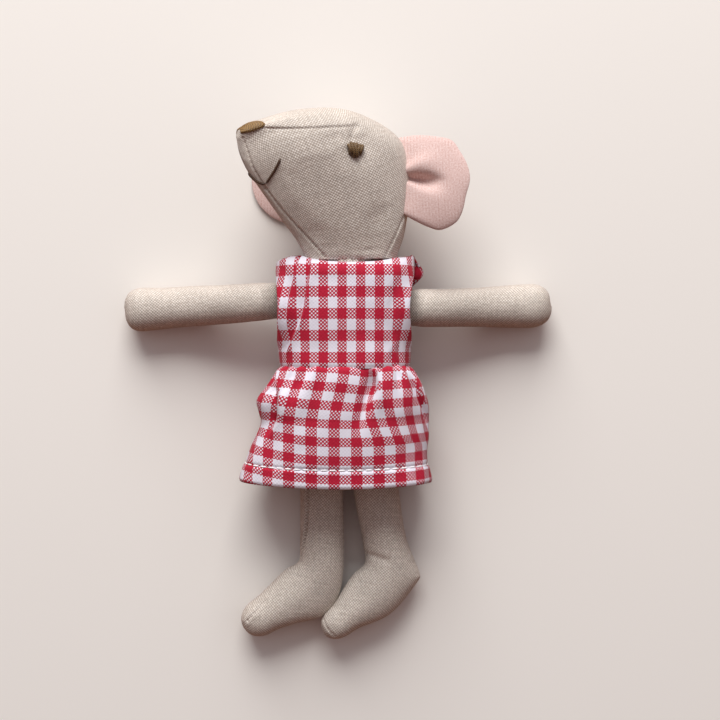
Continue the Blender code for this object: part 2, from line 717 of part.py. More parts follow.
def bodice_top(x):
    """Return the y of the bodice's upper edge at x: a boat neck between two shoulders."""
    rise = (abs(x - NECK_SHIFT) - NECKLINE_HALF_WIDTH) / STRAP_SLOPE
    return SHOULDER_TOP - NECKLINE_DIP * (1 - ease(rise))


def seam_angle(y):
    """Return the angle at which a bodice panel ends at the side: at the side seam, or at the armhole's edge."""
    share = (y - ARM_RISE) / ARMHOLE_HALF_LENGTH
    opening = ARMHOLE_HALF_HEIGHT * math.sqrt(max(1 - share * share, 0))
    edge = max(opening, GAP / 2 + GINGHAM * closing(y))
    return math.asin((edge / bodice_height(y)) ** (DRESS_SQUARENESS / 2))


def bodice_panel(ends, lift=None):
    """Return place(u, v) for a bodice panel. ends(edge) gives its two angles where the side ends at edge."""

    def place(u, v):
        y = WAIST + (SHOULDER_TOP - WAIST) * v
        for _ in range(4):
            first, last = ends(seam_angle(y))
            angle = first + (last - first) * u
            widened = ease((y - WAIST) / (ARM_RISE - WAIST))
            width = WAIST_HALF_WIDTH + BODICE_FLARE * widened
            x, z = dress_section(angle, width, bodice_height(y), DRESS_MIDDLE)
            y = WAIST + (bodice_top(x) - WAIST) * v
        if lift is not None:
            z = max(z, lift(x))
        return Vector((x, y, z))

    return place


def placket_lift(x):
    """Return the height of the under layer at x: raised over the studs at the middle of the back."""
    return PLACKET_LIFT * (1 - ease((abs(x) - PLACKET_OVERLAP - GAP - STUD_RADIUS) / PLACKET_BLEND))


def build_bodice():
    """A front panel and two back panels that overlap at the middle, closed by two press studs."""
    over = math.asin((PLACKET_OVERLAP / WAIST_HALF_WIDTH) ** (DRESS_SQUARENESS / 2))
    middle = -math.pi / 2
    front = bodice_panel(lambda edge: (math.pi - edge, edge))
    sheet("bodice_front", front, BODICE_FRONT_GRID, GINGHAM, gingham("bodice_front"))
    right = bodice_panel(lambda edge: (middle + over, -math.pi + edge))
    sheet("bodice_back_right", right, BODICE_RIGHT_GRID, GINGHAM, gingham("bodice_back_right"))
    left = bodice_panel(lambda edge: (-edge, middle - over), placket_lift)
    sheet("bodice_back_left", left, BODICE_LEFT_GRID, GINGHAM, gingham("bodice_back_left"))
    for place, rise in STUD_RISES.items():
        seat = GINGHAM + GAP
        add_stud("press_stud_ball_" + place, rise, seat, STUD_BALL)
        add_stud("press_stud_socket_" + place, rise, seat + STUD_BALL + GAP, STUD_SOCKET)


def add_stud(name, rise, seat, thickness):
    """Add one half of a press stud, a round plate between the two layers of the placket."""
    bm = bmesh.new()
    bmesh.ops.create_cone(bm, cap_ends=True, segments=STUD_POINT_COUNT, radius1=STUD_RADIUS, radius2=STUD_RADIUS,
                          depth=thickness)
    bmesh.ops.translate(bm, vec=(0, rise, seat + thickness / 2), verts=bm.verts)
    add_object(name, mesh_from(bm, name), finish(name, (0.45, 0.45, 0.47), 0.35))


def skirt_place(u, v):
    """Return the skirt's surface at share u round the waist and share v from the hem up to the waist."""
    angle = math.pi * (1 - 2 * u)
    down = 1 - v
    flare = HEM_LEFT_FLARE if math.cos(angle) > 0 else HEM_RIGHT_FLARE
    width = WAIST_HALF_WIDTH + flare * down + SKIRT_PUFF * math.sin(math.pi * down)
    fold = FOLD_DEPTH * ease(down) * math.cos(FOLD_COUNT * angle)
    x, z = dress_section(angle, width + fold, DRESS_HALF_HEIGHT + fold, DRESS_MIDDLE)
    sag = HEM_DROP * down * math.cos(math.pi * x / (2 * (WAIST_HALF_WIDTH + flare)))
    return Vector((x, WAIST - GAP - SKIRT_LENGTH * down - sag, z))


def build_skirt():
    """The gathered skirt, sewn to the bodice at the waist and open at the hem."""
    sheet("skirt", skirt_place, SKIRT_GRID, GINGHAM, gingham("skirt"), closed=True)


def canvas(name):
    """Return a finish of unbleached canvas."""
    return finish(name, (0.55, 0.46, 0.37), 0.9)


def filling(name):
    """Return a finish of white fibre stuffing."""
    return finish(name, (0.85, 0.84, 0.8), 1.0)


def flannel(name):
    """Return a finish of pink brushed flannel."""
    return finish(name, (0.83, 0.55, 0.47), 0.95)


def thread(name):
    """Return a finish of brown embroidery thread."""
    return finish(name, (0.08, 0.04, 0.015), 0.7)


def gingham(name):
    """Return a finish of red and white gingham, at its mean colour."""
    return finish(name, (0.6, 0.13, 0.18), 0.85)


def head_low_point():
    """Return how far the turned head reaches below its pivot."""
    turn = Matrix.Rotation(-HEAD_TURN, 3, "Y")
    return min((turn @ point).z for section in head_form.rings(0.0) for point in section)


def build_pivot():
    """Return the neck's pivot, at the height where the turned head comes down to the floor."""
    return Vector((NECK_SHIFT, NECK_Y, GAP - head_low_point()))


def main():
    """Build every sub-part."""
    build_torso()
    build_neck()
    build_head()
    build_ears()
    build_arms()
    build_legs()
    build_bodice()
    build_skirt()


clear_scene()
doll = new_collection("cloth_mouse_doll")
neck_pivot = build_pivot()
main()
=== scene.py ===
"""Looks of a stuffed cloth mouse doll in a gingham dress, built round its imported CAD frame."""

import logging
import math
from dataclasses import dataclass, field
from enum import Enum
from typing import Any, Callable, Optional, Sequence

import bpy
import numpy as np
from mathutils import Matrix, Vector
from mathutils.bvhtree import BVHTree


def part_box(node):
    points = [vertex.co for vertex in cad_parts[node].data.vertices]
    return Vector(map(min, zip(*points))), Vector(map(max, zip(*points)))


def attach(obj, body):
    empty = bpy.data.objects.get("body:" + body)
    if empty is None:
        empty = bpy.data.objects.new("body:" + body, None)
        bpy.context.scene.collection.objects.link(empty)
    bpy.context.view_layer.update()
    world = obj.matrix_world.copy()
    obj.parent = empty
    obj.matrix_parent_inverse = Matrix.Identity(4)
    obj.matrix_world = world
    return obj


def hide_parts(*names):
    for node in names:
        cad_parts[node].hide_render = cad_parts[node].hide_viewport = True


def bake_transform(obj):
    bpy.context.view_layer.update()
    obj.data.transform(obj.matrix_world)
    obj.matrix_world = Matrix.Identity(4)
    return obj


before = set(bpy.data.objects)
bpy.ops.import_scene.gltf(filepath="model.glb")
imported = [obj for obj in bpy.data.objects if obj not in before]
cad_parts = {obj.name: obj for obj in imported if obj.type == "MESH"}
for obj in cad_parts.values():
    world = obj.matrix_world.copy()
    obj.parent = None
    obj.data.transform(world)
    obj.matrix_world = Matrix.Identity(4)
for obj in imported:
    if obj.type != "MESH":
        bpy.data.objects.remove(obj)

MM = 0.001
LOG = logging.getLogger("mouse_doll")
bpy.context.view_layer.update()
CLOTH_LAYER = "cloth"
Pixel = tuple[float, float]
Line = tuple[Pixel, ...]
Array = np.ndarray
Tree = bpy.types.NodeTree
Node = bpy.types.Node
Socket = bpy.types.NodeSocket
Material = bpy.types.Material
Object = bpy.types.Object
# The doll's own left, the way to its head, and out of its chest.
LEFTWARD, HEADWARD, OUTWARD = np.eye(3)
# How much deeper a seam is at each stitch, how many widths its lip reaches, and over what length that ends.
STITCH_BITE = 0.25
LIP_REACH = 5
LIP_FADE = 3 * MM


# Shared arithmetic

def smooth(share: Any) -> Array:
    """Smooth step from 0 to 1."""
    t = np.clip(share, 0.0, 1.0)
    return t * t * (3 - 2 * t)


def hump(distance: Array, width: float) -> Array:
    """A soft hump, 1 at no distance and fading over width."""
    return np.exp(-(distance / width) ** 2)


def ease(first: float, last: float, share: Any) -> Array:
    """Go smoothly from first to last while share goes from 0 to 1."""
    return first + (last - first) * smooth(share)


def curve(knots: Sequence, share: Any) -> Array:
    """Follow a smooth curve through evenly spaced knots.

    Args:
        knots: numbers or points.
        share: places along the curve, 0 at the first knot and 1 at the last.

    Returns:
        One number or point for each place.
    """
    points = np.array(knots, dtype=float)
    flat = points.ndim == 1
    if flat:
        points = points[:, None]
    ends = np.vstack([2 * points[0] - points[1], points, 2 * points[-1] - points[-2]])
    spans = len(points) - 1
    place = np.clip(np.asarray(share, dtype=float), 0, 1) * spans
    first = np.minimum(place.astype(int), spans - 1)
    u = (place - first)[..., None]
    a, b, c, d = (ends[first + k] for k in range(4))
    bow = 2 * a - 5 * b + 4 * c - d
    twist = 3 * b - a - 3 * c + d
    found = b + (c - a) * (u / 2) + bow * (u * u / 2) + twist * (u ** 3 / 2)
    return found[..., 0] if flat else found


def squared(angle: Array, power: float) -> tuple[Array, Array]:
    """Cosine and sine of a superellipse at an angle."""
    c, s = np.cos(angle), np.sin(angle)
    return np.sign(c) * np.abs(c) ** (2 / power), np.sign(s) * np.abs(s) ** (2 / power)


def rounded(angle: Array, fullness: float) -> tuple[Array, Array]:
    """Cosine and sine of an oval that is fuller than an ellipse at its four corners."""
    c, s = np.cos(angle), np.sin(angle)
    return c * (1 + fullness * s * s), s * (1 + fullness * c * c)


@dataclass(frozen=True)
class Lumps:
    """Smooth random unevenness of a stuffed or crumpled surface, the same each time."""

    height: float
    # How many lumps fit along the rows and the columns.
    cells: tuple[int, int]
    seed: int

    @staticmethod
    def weights(count: int, spans: int, wraps: bool) -> Array:
        """How much of each lattice point goes into each place along one side.

        Args:
            count: places along the side.
            spans: lumps along it.
            wraps: whether its end meets its beginning.

        Returns:
            One row of weights for each place.
        """
        place = np.linspace(0, spans, count, endpoint=not wraps)
        first = np.minimum(place.astype(int), spans - 1)
        u = place - first
        found = np.zeros((count, spans + 3))
        share = ((1 - u) ** 3, 3 * u ** 3 - 6 * u ** 2 + 4, -3 * u ** 3 + 3 * u ** 2 + 3 * u + 1, u ** 3)
        for k, part in enumerate(share):
            found[np.arange(count), first + k] = part / 6
        return found

    def over(self, shape: tuple[int, int], closed: bool = False) -> Array:
        """Spread the lumps over a grid.

        Args:
            shape: rows and columns of the grid.
            closed: whether the last column meets the first.

        Returns:
            One height for each point.
        """
        size = (self.cells[0] + 3, self.cells[1] + 3)
        lattice = np.random.default_rng(self.seed).uniform(-1.8, 1.8, size)
        if closed:
            lattice[:, -3:] = lattice[:, :3]
        rows = self.weights(shape[0], self.cells[0], False)
        columns = self.weights(shape[1], self.cells[1], closed)
        return self.height * (rows @ lattice @ columns.T)


@dataclass(frozen=True)
class Nearness:
    """How points lie to a line: their distance, how far along it, and on which side seen from above."""

    distance: Array
    run: Array
    side: Array
    length: float


def nearness(points: Array, line: Array) -> Nearness:
    """Measure points against a line of straight pieces.

    Args:
        points: any grid of points.
        line: the line's points in order.

    Returns:
        Distance, run and side of each point. The side is positive to the left of the line's direction.
    """
    distance = np.full(points.shape[:-1], np.inf)
    run = np.zeros(points.shape[:-1])
    side = np.zeros(points.shape[:-1])
    start = 0.0
    for a, b in zip(line, line[1:]):
        step = b - a
        length = float(np.linalg.norm(step))
        offset = points - a
        share = np.clip(offset @ step / length ** 2, 0, 1)
        away = offset - share[..., None] * step
        gap = np.linalg.norm(away, axis=-1)
        closer = gap < distance
        distance[closer] = gap[closer]
        run[closer] = (start + share * length)[closer]
        side[closer] = (offset[..., 1] * step[0] - offset[..., 0] * step[1])[closer]
        start += length
    return Nearness(distance, run, np.sign(side), start)


# Surfaces

@dataclass
class Surface:
    """A grid of points, rows by columns, that becomes a piece of cloth.

    Its outside faces away from core. A closed one joins its last column to its first. cloth holds where each
    point lies on the flat cloth, in metres, with one more column than points where the surface is closed.
    """

    points: Array
    core: Array
    closed: bool = True
    caps: tuple[bool, bool] = (True, True)
    cloth: Optional[Array] = None

    def __post_init__(self) -> None:
        """Lay the cloth flat by lengths over the surface, from its middle column and first row."""
        if self.cloth is not None:
            return
        looped = np.concatenate([self.points, self.points[:, :1]], axis=1) if self.closed else self.points
        across = np.cumsum(np.linalg.norm(np.diff(looped, axis=1), axis=2), axis=1)
        across = np.pad(across, ((0, 0), (1, 0)))
        across -= across[:, [looped.shape[1] // 2]]
        upward = np.cumsum(np.linalg.norm(np.diff(looped, axis=0), axis=2), axis=0)
        self.cloth = np.stack([across, np.pad(upward, ((1, 0), (0, 0)))], axis=-1)

    @property
    def shape(self) -> tuple[int, int]:
        """Rows and columns."""
        return self.points.shape[:2]

    def crossing(self) -> Array:
        """The grid's own normals, not turned outwards.

        Returns:
            One unit vector for each point.
        """
        if self.closed:
            across = np.roll(self.points, -1, axis=1) - np.roll(self.points, 1, axis=1)
        else:
            across = np.gradient(self.points, axis=1)
        found = np.cross(across, np.gradient(self.points, axis=0))
        return found / np.maximum(np.linalg.norm(found, axis=2, keepdims=True), 1e-12)

    def outwards(self) -> float:
        """1 where the grid's own normals face out, or else -1."""
        return 1.0 if np.sum(self.crossing() * (self.points - self.core)) > 0 else -1.0

    def push(self, amount: Array) -> None:
        """Move each point out by an amount, in metres."""
        self.points = self.points + self.crossing() * self.outwards() * np.asarray(amount)[..., None]

    def turn_cloth(self, angle: float) -> None:
        """Turn the cloth's threads on the surface, as when it is cut on the bias."""
        c, s = math.cos(angle), math.sin(angle)
        self.cloth = self.cloth @ np.array(((c, s), (-s, c)))

    def groove(self, line: Array, depth: float, width: float, stitch: float = 0.0, lip: float = 0.0) -> None:
        """Draw the surface in along a line.

        Args:
            line: the line's points.
            depth: how far the cloth is drawn in.
            width: how wide the hollow is.
            stitch: the length of the stitches that pull it in, or 0 for an even crease.
            lip: how far the cloth to the left of the line stands up beside it.
        """
        near = nearness(self.points, line)
        pull = depth * hump(near.distance, width)
        if stitch:
            pull = pull * (1 + STITCH_BITE * np.cos(2 * math.pi * near.run / stitch))
        inside = smooth(np.minimum(near.run, near.length - near.run) / LIP_FADE)
        beside = smooth(near.side * near.distance / width)
        raised = lip * np.exp(-near.distance / (LIP_REACH * width)) * beside * inside
        self.push(raised - pull)

    def rest_on_floor(self) -> None:
        """Flatten what would reach through the floor."""
        self.points[..., 2] = np.maximum(self.points[..., 2], 0.0)

    def faces(self) -> tuple[Array, Array]:
        """Four corners of each face, as point numbers and as cloth numbers, wound so that they face out.

        Returns:
            Point numbers and cloth numbers, one row for each face.
        """
        rows, columns = self.shape
        wide = self.cloth.shape[1]
        last = columns if self.closed else columns - 1
        i, j = np.meshgrid(np.arange(rows - 1), np.arange(last), indexing="ij")
        after = (j + 1) % columns
        near, far = i * columns, (i + 1) * columns
        points = np.stack([near + j, near + after, far + after, far + j], -1)
        near, far = i * wide, (i + 1) * wide
        cloth = np.stack([near + j, near + j + 1, far + j + 1, far + j], -1)
        order = [0, 1, 2, 3] if self.outwards() > 0 else [3, 2, 1, 0]
        return points.reshape(-1, 4)[:, order], cloth.reshape(-1, 4)[:, order]


def build(name: str, surfaces: Sequence[Surface], material: Optional[Material]) -> Object:
    """Make one smooth mesh piece from surfaces.

    Args:
        name: the piece's name.
        surfaces: its grids, each capped as it says.
        material: its finish, if it has one.

    Returns:
        The new object, linked to the scene.
    """
    vertices: list[Array] = []
    faces: list[tuple[int, ...]] = []
    spots: list[Array] = []
    base = 0
    for surface in surfaces:
        points, cloth = surface.faces()
        flat = surface.cloth.reshape(-1, 2)
        rows, columns = surface.shape
        vertices.append(surface.points.reshape(-1, 3))
        faces.extend(map(tuple, (points + base).tolist()))
        spots.append(flat[cloth].reshape(-1, 2))
        count = rows * columns
        for row, used in ((0, surface.caps[0]), (rows - 1, surface.caps[1])):
            if not (used and surface.closed):
                continue
            vertices.append(surface.points[row].mean(axis=0)[None])
            forward = (row == 0) == (surface.outwards() < 0)
            middle = surface.cloth[row].mean(axis=0)
            for k in range(columns):
                pair = (row * columns + k, row * columns + (k + 1) % columns)
                marks = (surface.cloth[row, k], surface.cloth[row, k + 1])
                if not forward:
                    pair, marks = pair[::-1], marks[::-1]
                faces.append((base + pair[0], base + pair[1], base + count))
                spots.append(np.array((*marks, middle)))
            count += 1
        base += count
    mesh = bpy.data.meshes.new(name)
    mesh.from_pydata(np.concatenate(vertices).tolist(), [], faces)
    layer = mesh.uv_layers.new(name=CLOTH_LAYER)
    layer.data.foreach_set("uv", np.concatenate(spots).ravel())
    mesh.shade_smooth()
    mesh.materials.append(material)
    item = bpy.data.objects.new(name, mesh)
    bpy.context.scene.collection.objects.link(item)
    LOG.info("%s: %d points", name, len(mesh.vertices))
    return item


def rings(centre: Array, across: Array, deep: Array, columns: int, fullness: float) -> Array:
    """Sections of a form: full ovals, each begun at the far end of deep.

    Args:
        centre: the middle of each section.
        across: each section's half axis.
        deep: its other half axis.
        columns: points round each.
        fullness: 0 for an ellipse, more for a squarer oval.

    Returns:
        Rows of points.
    """
    c, s = rounded(2 * math.pi * np.arange(columns) / columns - math.pi / 2, fullness)
    return centre[:, None] + across[:, None] * c[None, :, None] + deep[:, None] * s[None, :, None]


def strand(path: Array, radius: float, sides: int = 8, taper: float = 0.25) -> Surface:
    """A round thread along a path, thinner at its two ends.

    Args:
        path: the points it follows.
        radius: its radius in the middle.
        sides: points round it.
        taper: the share of its length over which each end thins.

    Returns:
        Its surface.
    """
    along = np.gradient(path, axis=0)
    along /= np.linalg.norm(along, axis=1, keepdims=True)
    reference = np.eye(3)[np.argmin(np.abs(along.mean(axis=0)))]
    first = np.cross(along, reference)
    first /= np.linalg.norm(first, axis=1, keepdims=True)
    second = np.cross(along, first)
    share = np.linspace(0, 1, len(path))
    thin = radius * np.sqrt(np.clip(np.minimum(share, 1 - share) / taper, 0.05, 1))[:, None]
    return Surface(rings(path, first * thin, second * thin, sides, 0.0), path[:, None])


@dataclass(frozen=True)
class Stuffing:
    """Loose fibre pressed into a sewn cover, which swells as cloth and is held back along its seams."""

    slack: float = 0.2 * MM
    pressure: float = 4.0
    frames: int = 14
    # How far the cover may move out and in.
    swells: float = 0.7 * MM
    sinks: float = 0.1 * MM
    seam_width: float = 1.6 * MM
    coarse: tuple[int, int] = (44, 40)
    # Cloth settings suit things about a metre long, so the form is simulated larger.
    enlarged: float = 30.0

    def fill(self, surface: Surface, seams: Sequence[Array] = ()) -> None:
        """Args:
            surface: the form.
            seams: lines that hold the cover back.
        """
        rows, columns = surface.shape
        row = np.linspace(0, rows - 1, self.coarse[0]).round().astype(int)
        column = np.linspace(0, columns, self.coarse[1], endpoint=False).round().astype(int)
        begin = surface.points[np.ix_(row, column)]
        cover = Surface(begin, surface.core[row])
        out = cover.crossing() * cover.outwards()
        held = np.zeros(cover.shape, dtype=bool)
        held[0] = True
        for seam in seams:
            held |= nearness(begin, seam).distance < self.seam_width
        cover.push(-self.slack * ~held)
        swelled = np.sum((self.simulate(cover, np.flatnonzero(held)) - begin) * out, axis=2)
        spread = curve(np.clip(swelled, -self.sinks, self.swells), np.linspace(0, 1, rows)).T
        surface.push(curve(np.concatenate([spread, spread[:1]]), np.arange(columns) / columns).T)

    def simulate(self, cover: Surface, held: Array) -> Array:
        """Let a cover swell.

        Args:
            cover: the slack cover.
            held: numbers of the points that stay.

        Returns:
            Where its points come to rest.
        """
        rested = Surface(cover.points * self.enlarged, cover.core * self.enlarged)
        item = build("cover", [rested], None)
        item.vertex_groups.new(name="held").add(held.tolist(), 1.0, "REPLACE")
        cloth = item.modifiers.new("swell", "CLOTH")
        cloth.settings.use_pressure = True
        cloth.settings.uniform_pressure_force = self.pressure
        cloth.settings.effector_weights.gravity = 0.0
        cloth.settings.vertex_group_mass = "held"
        cloth.point_cache.frame_end = self.frames
        for step in range(1, self.frames + 1):
            bpy.context.scene.frame_set(step)
        mesh = item.evaluated_get(bpy.context.evaluated_depsgraph_get()).data
        found = np.zeros(3 * len(mesh.vertices))
        mesh.vertices.foreach_get("co", found)
        bpy.data.objects.remove(item)
        bpy.context.scene.frame_set(1)
        count = cover.shape[0] * cover.shape[1]
        return found[:3 * count].reshape(*cover.shape, 3) / self.enlarged


STUFFING = Stuffing()


# The photograph's view

@dataclass(frozen=True)
class PhotoView:
    """The photograph's camera: straight above the doll, with its head towards the top of the picture."""

    centre: tuple[float, float] = (5.525 * MM, -9.75 * MM)
    level: float = 15.0 * MM
    distance: float = 430.0 * MM
    span: float = 234.0 * MM
    pixels: float = 720.0
    sensor: float = 36.0

    @property
    def eye(self) -> Array:
        """Where the camera is."""
        return np.array((*self.centre, self.level + self.distance))

    def heading(self, pixel: Pixel) -> Array:
        """The direction in which a pixel looks.

        Args:
            pixel: a place in the photograph.

        Returns:
            The way from the camera, not of unit length.
        """
        size = self.span / self.pixels
        right, down = (part - self.pixels / 2 for part in pixel)
        return np.array((right * size, -down * size, -self.distance))

    def on_plane(self, pixel: Pixel, origin: Array, normal: Array) -> Array:
        """Where a pixel's ray meets a plane."""
        way = self.heading(pixel)
        return self.eye + way * ((origin - self.eye) @ normal / (way @ normal))

    def onto(self, pixels: Sequence[Pixel], surface: Surface, count: int) -> Array:
        """Lay a line of the photograph on a surface.

        Args:
            pixels: the line's points in the photograph.
            surface: what carries it.
            count: how many points the laid line has.

        Returns:
            Points on the surface: where each ray meets it first, or its nearest point if the ray misses it.
        """
        tree = BVHTree.FromPolygons(surface.points.reshape(-1, 3).tolist(), surface.faces()[0].tolist())
        top = float(surface.points[..., 2].max())
        found = []
        for pixel in curve(pixels, np.linspace(0, 1, count)):
            way = Vector(self.heading(pixel))
            hit = tree.ray_cast(Vector(self.eye), way.normalized())[0]
            if hit is None:
                near = self.on_plane(pixel, np.array((0, 0, top / 2)), OUTWARD)
                hit = tree.find_nearest(Vector(near))[0]
            found.append(hit)
        return np.array(found)

    def place_camera(self) -> None:
        """Add the camera."""
        data = bpy.data.cameras.new("photo_view")
        data.sensor_width = self.sensor
        data.lens = self.sensor * self.distance / self.span
        data.clip_start = 10 * MM
        camera = bpy.data.objects.new("photo_view", data)
        camera.location = self.eye
        bpy.context.scene.collection.objects.link(camera)
        bpy.context.scene.camera = camera


PHOTO = PhotoView()


# Finishes

def linear(shade: str) -> tuple[float, float, float, float]:
    """Turn an sRGB hex colour into linear red, green, blue and alpha.

    Args:
        shade: a hash sign and six digits.

    Returns:
        Four numbers from 0 to 1.
    """
    parts = (int(shade[k:k + 2], 16) / 255 for k in (1, 3, 5))
    red, green, blue = (c / 12.92 if c <= 0.04045 else ((c + 0.055) / 1.055) ** 2.4 for c in parts)
    return red, green, blue, 1.0


def add_node(tree: Tree, kind: str, settings: dict[str, Any], inputs: dict[Any, Any]) -> Node:
    """Add a shader node.

    Args:
        tree: the material's tree.
        kind: the node's type name, without its prefix.
        settings: its properties.
        inputs: what goes into each socket, by name or number: a node, one of its outputs, or a constant.

    Returns:
        The node.
    """
    node = tree.nodes.new("ShaderNode" + kind)
    for name, value in settings.items():
        setattr(node, name, value)
    for key, value in inputs.items():
        if isinstance(value, Node):
            value = next(socket for socket in value.outputs if socket.enabled)
        if isinstance(value, Socket):
            tree.links.new(value, node.inputs[key])
        else:
            node.inputs[key].default_value = value
    return node


@dataclass(frozen=True)
class Finish:
    """One kind of material: what every finish shares."""

    name: str
    roughness: float
    sheen: float = 0.0
    specular: float = 0.5

    def material(self) -> Material:
        """Make the material: the finish's own nodes into one principled shader.

        Returns:
            The material.
        """
        made = bpy.data.materials.new(self.name)
        made.use_nodes = True
        tree = made.node_tree
        tree.nodes.clear()
        inputs = {"Roughness": self.roughness, "IOR": 1.5, "Sheen Weight": self.sheen,
                  "Specular IOR Level": self.specular, **self.paint(tree)}
        shader = add_node(tree, "BsdfPrincipled", {}, inputs)
        add_node(tree, "OutputMaterial", {}, {"Surface": shader})
        return made

    def paint(self, tree: Tree) -> dict[str, Any]:
        """Add the finish's own nodes, and give what goes into the shader's sockets."""
        raise NotImplementedError

    def cloth_place(self, tree: Tree) -> Node:
        """The node that gives places on the flat cloth, in metres."""
        return add_node(tree, "UVMap", {"uv_map": CLOTH_LAYER}, {})

    def cloth_axes(self, tree: Tree, place: Node) -> tuple[Socket, Socket]:
        """Split places on the flat cloth into across and along."""
        parts = add_node(tree, "SeparateXYZ", {}, {0: place})
        return parts.outputs[0], parts.outputs[1]

    def weave(self, tree: Tree, axes: Sequence[Socket], pitch: float) -> Node:
        """A plain weave: 1 where one way's thread lies on top, and -1 where the other's does.

        Args:
            tree: the material's tree.
            axes: places across and along the cloth.
            pitch: from one thread to the next, in metres.

        Returns:
            The node that gives the height.
        """
        waves = []
        for axis in axes:
            turn = add_node(tree, "Math", {"operation": "MULTIPLY"}, {0: axis, 1: math.pi / pitch})
            waves.append(add_node(tree, "Math", {"operation": "SINE"}, {0: turn}))
        return add_node(tree, "Math", {"operation": "MULTIPLY"}, {0: waves[0], 1: waves[1]})


@dataclass(frozen=True)
class Canvas(Finish):
    """Unbleached linen and cotton canvas in a plain weave.

    Matt, with round yarns: a painted highlight on their crests and painted shade between them, and a few
    slubs, thicker lengths of yarn, that run along one thread.
    """

    sheen: float = 0.1
    specular: float = 0.25
    # The lightest crest of a yarn and the shade between yarns, painted into the colour: painted highlight and
    # painted shade.
    lit_crest: str = "#f0eae2"
    gap: str = "#b0a397"
    # A little under the 0.55 to 0.6 mm that the photograph's weave suggests.
    pitch: float = 0.5 * MM
    wander: float = 0.2 * MM
    wander_length: float = 1.7 * MM
    slub: float = 9.0 * MM
    stain: float = 14.0 * MM
    # Least and greatest brightness of the slubs, the knots and the stains.
    slub_tone: tuple[float, float] = (0.88, 1.1)
    knot_tone: tuple[float, float] = (0.6, 1.2)
    stain_tone: tuple[float, float] = (0.95, 1.04)

    def paint(self, tree: Tree) -> dict[str, Any]:
        """Weave, with a painted highlight on the yarns' crests and painted shade between them, slubs and an
        uneven tone.

        Args:
            tree: the material's tree.

        Returns:
            What goes into the shader's sockets, by name.
        """
        flat = {"noise_dimensions": "2D"}
        place = self.cloth_place(tree)
        sway = add_node(tree, "TexNoise", flat,
                        {"Vector": place, "Scale": 1 / self.wander_length, "Detail": 1.0})
        swayed = add_node(tree, "VectorMath", {"operation": "MULTIPLY_ADD"},
                          {0: sway.outputs["Color"], 1: (self.wander, self.wander, 0), 2: place})
        checker = self.weave(tree, self.cloth_axes(tree, swayed), self.pitch)
        # Where the painted highlight of the crests shows, against the painted shade of the gaps.
        lit_crest = add_node(tree, "MapRange", {}, {"Value": checker, "From Min": -0.7, "From Max": 0.7})
        slubs = []
        for scale in ((1 / self.pitch, 1 / self.slub, 1), (1 / self.slub, 1 / self.pitch, 1)):
            drawn = add_node(tree, "Mapping", {}, {"Vector": place, "Scale": scale})
            slubs.append(add_node(tree, "TexNoise", flat, {"Vector": drawn, "Scale": 1.0, "Detail": 1.0}))
        uneven = add_node(tree, "Mix", {"data_type": "FLOAT"}, {0: 0.5, 2: slubs[0], 3: slubs[1]})
        knots = add_node(tree, "TexNoise", flat, {"Vector": place, "Scale": 0.5 / self.pitch, "Detail": 1.0})
        cloud = add_node(tree, "TexNoise", flat, {"Vector": place, "Scale": 1 / self.stain, "Detail": 3.0})
        tones = []
        for noise, tone in ((uneven, self.slub_tone), (knots, self.knot_tone), (cloud, self.stain_tone)):
            spread = {"Value": noise, "From Min": 0.3, "From Max": 0.7, "To Min": tone[0], "To Max": tone[1]}
            tones.append(add_node(tree, "MapRange", {}, spread))
        lit = add_node(tree, "Math", {"operation": "MULTIPLY"}, {0: lit_crest, 1: tones[1]})
        shade = add_node(tree, "Math", {"operation": "MULTIPLY"}, {0: tones[0], 1: tones[2]})
        # Colour from the painted shade of the gaps to the painted highlight of the crests.
        yarn = add_node(tree, "Mix", {"data_type": "RGBA"},
                        {0: lit, 6: linear(self.gap), 7: linear(self.lit_crest)})
        colour = add_node(tree, "VectorMath", {"operation": "SCALE"}, {0: yarn, "Scale": shade})
        bump = add_node(tree, "Bump", {}, {"Strength": 0.6, "Distance": 0.25 * self.pitch, "Height": lit})
        return {"Base Color": colour, "Normal": bump}


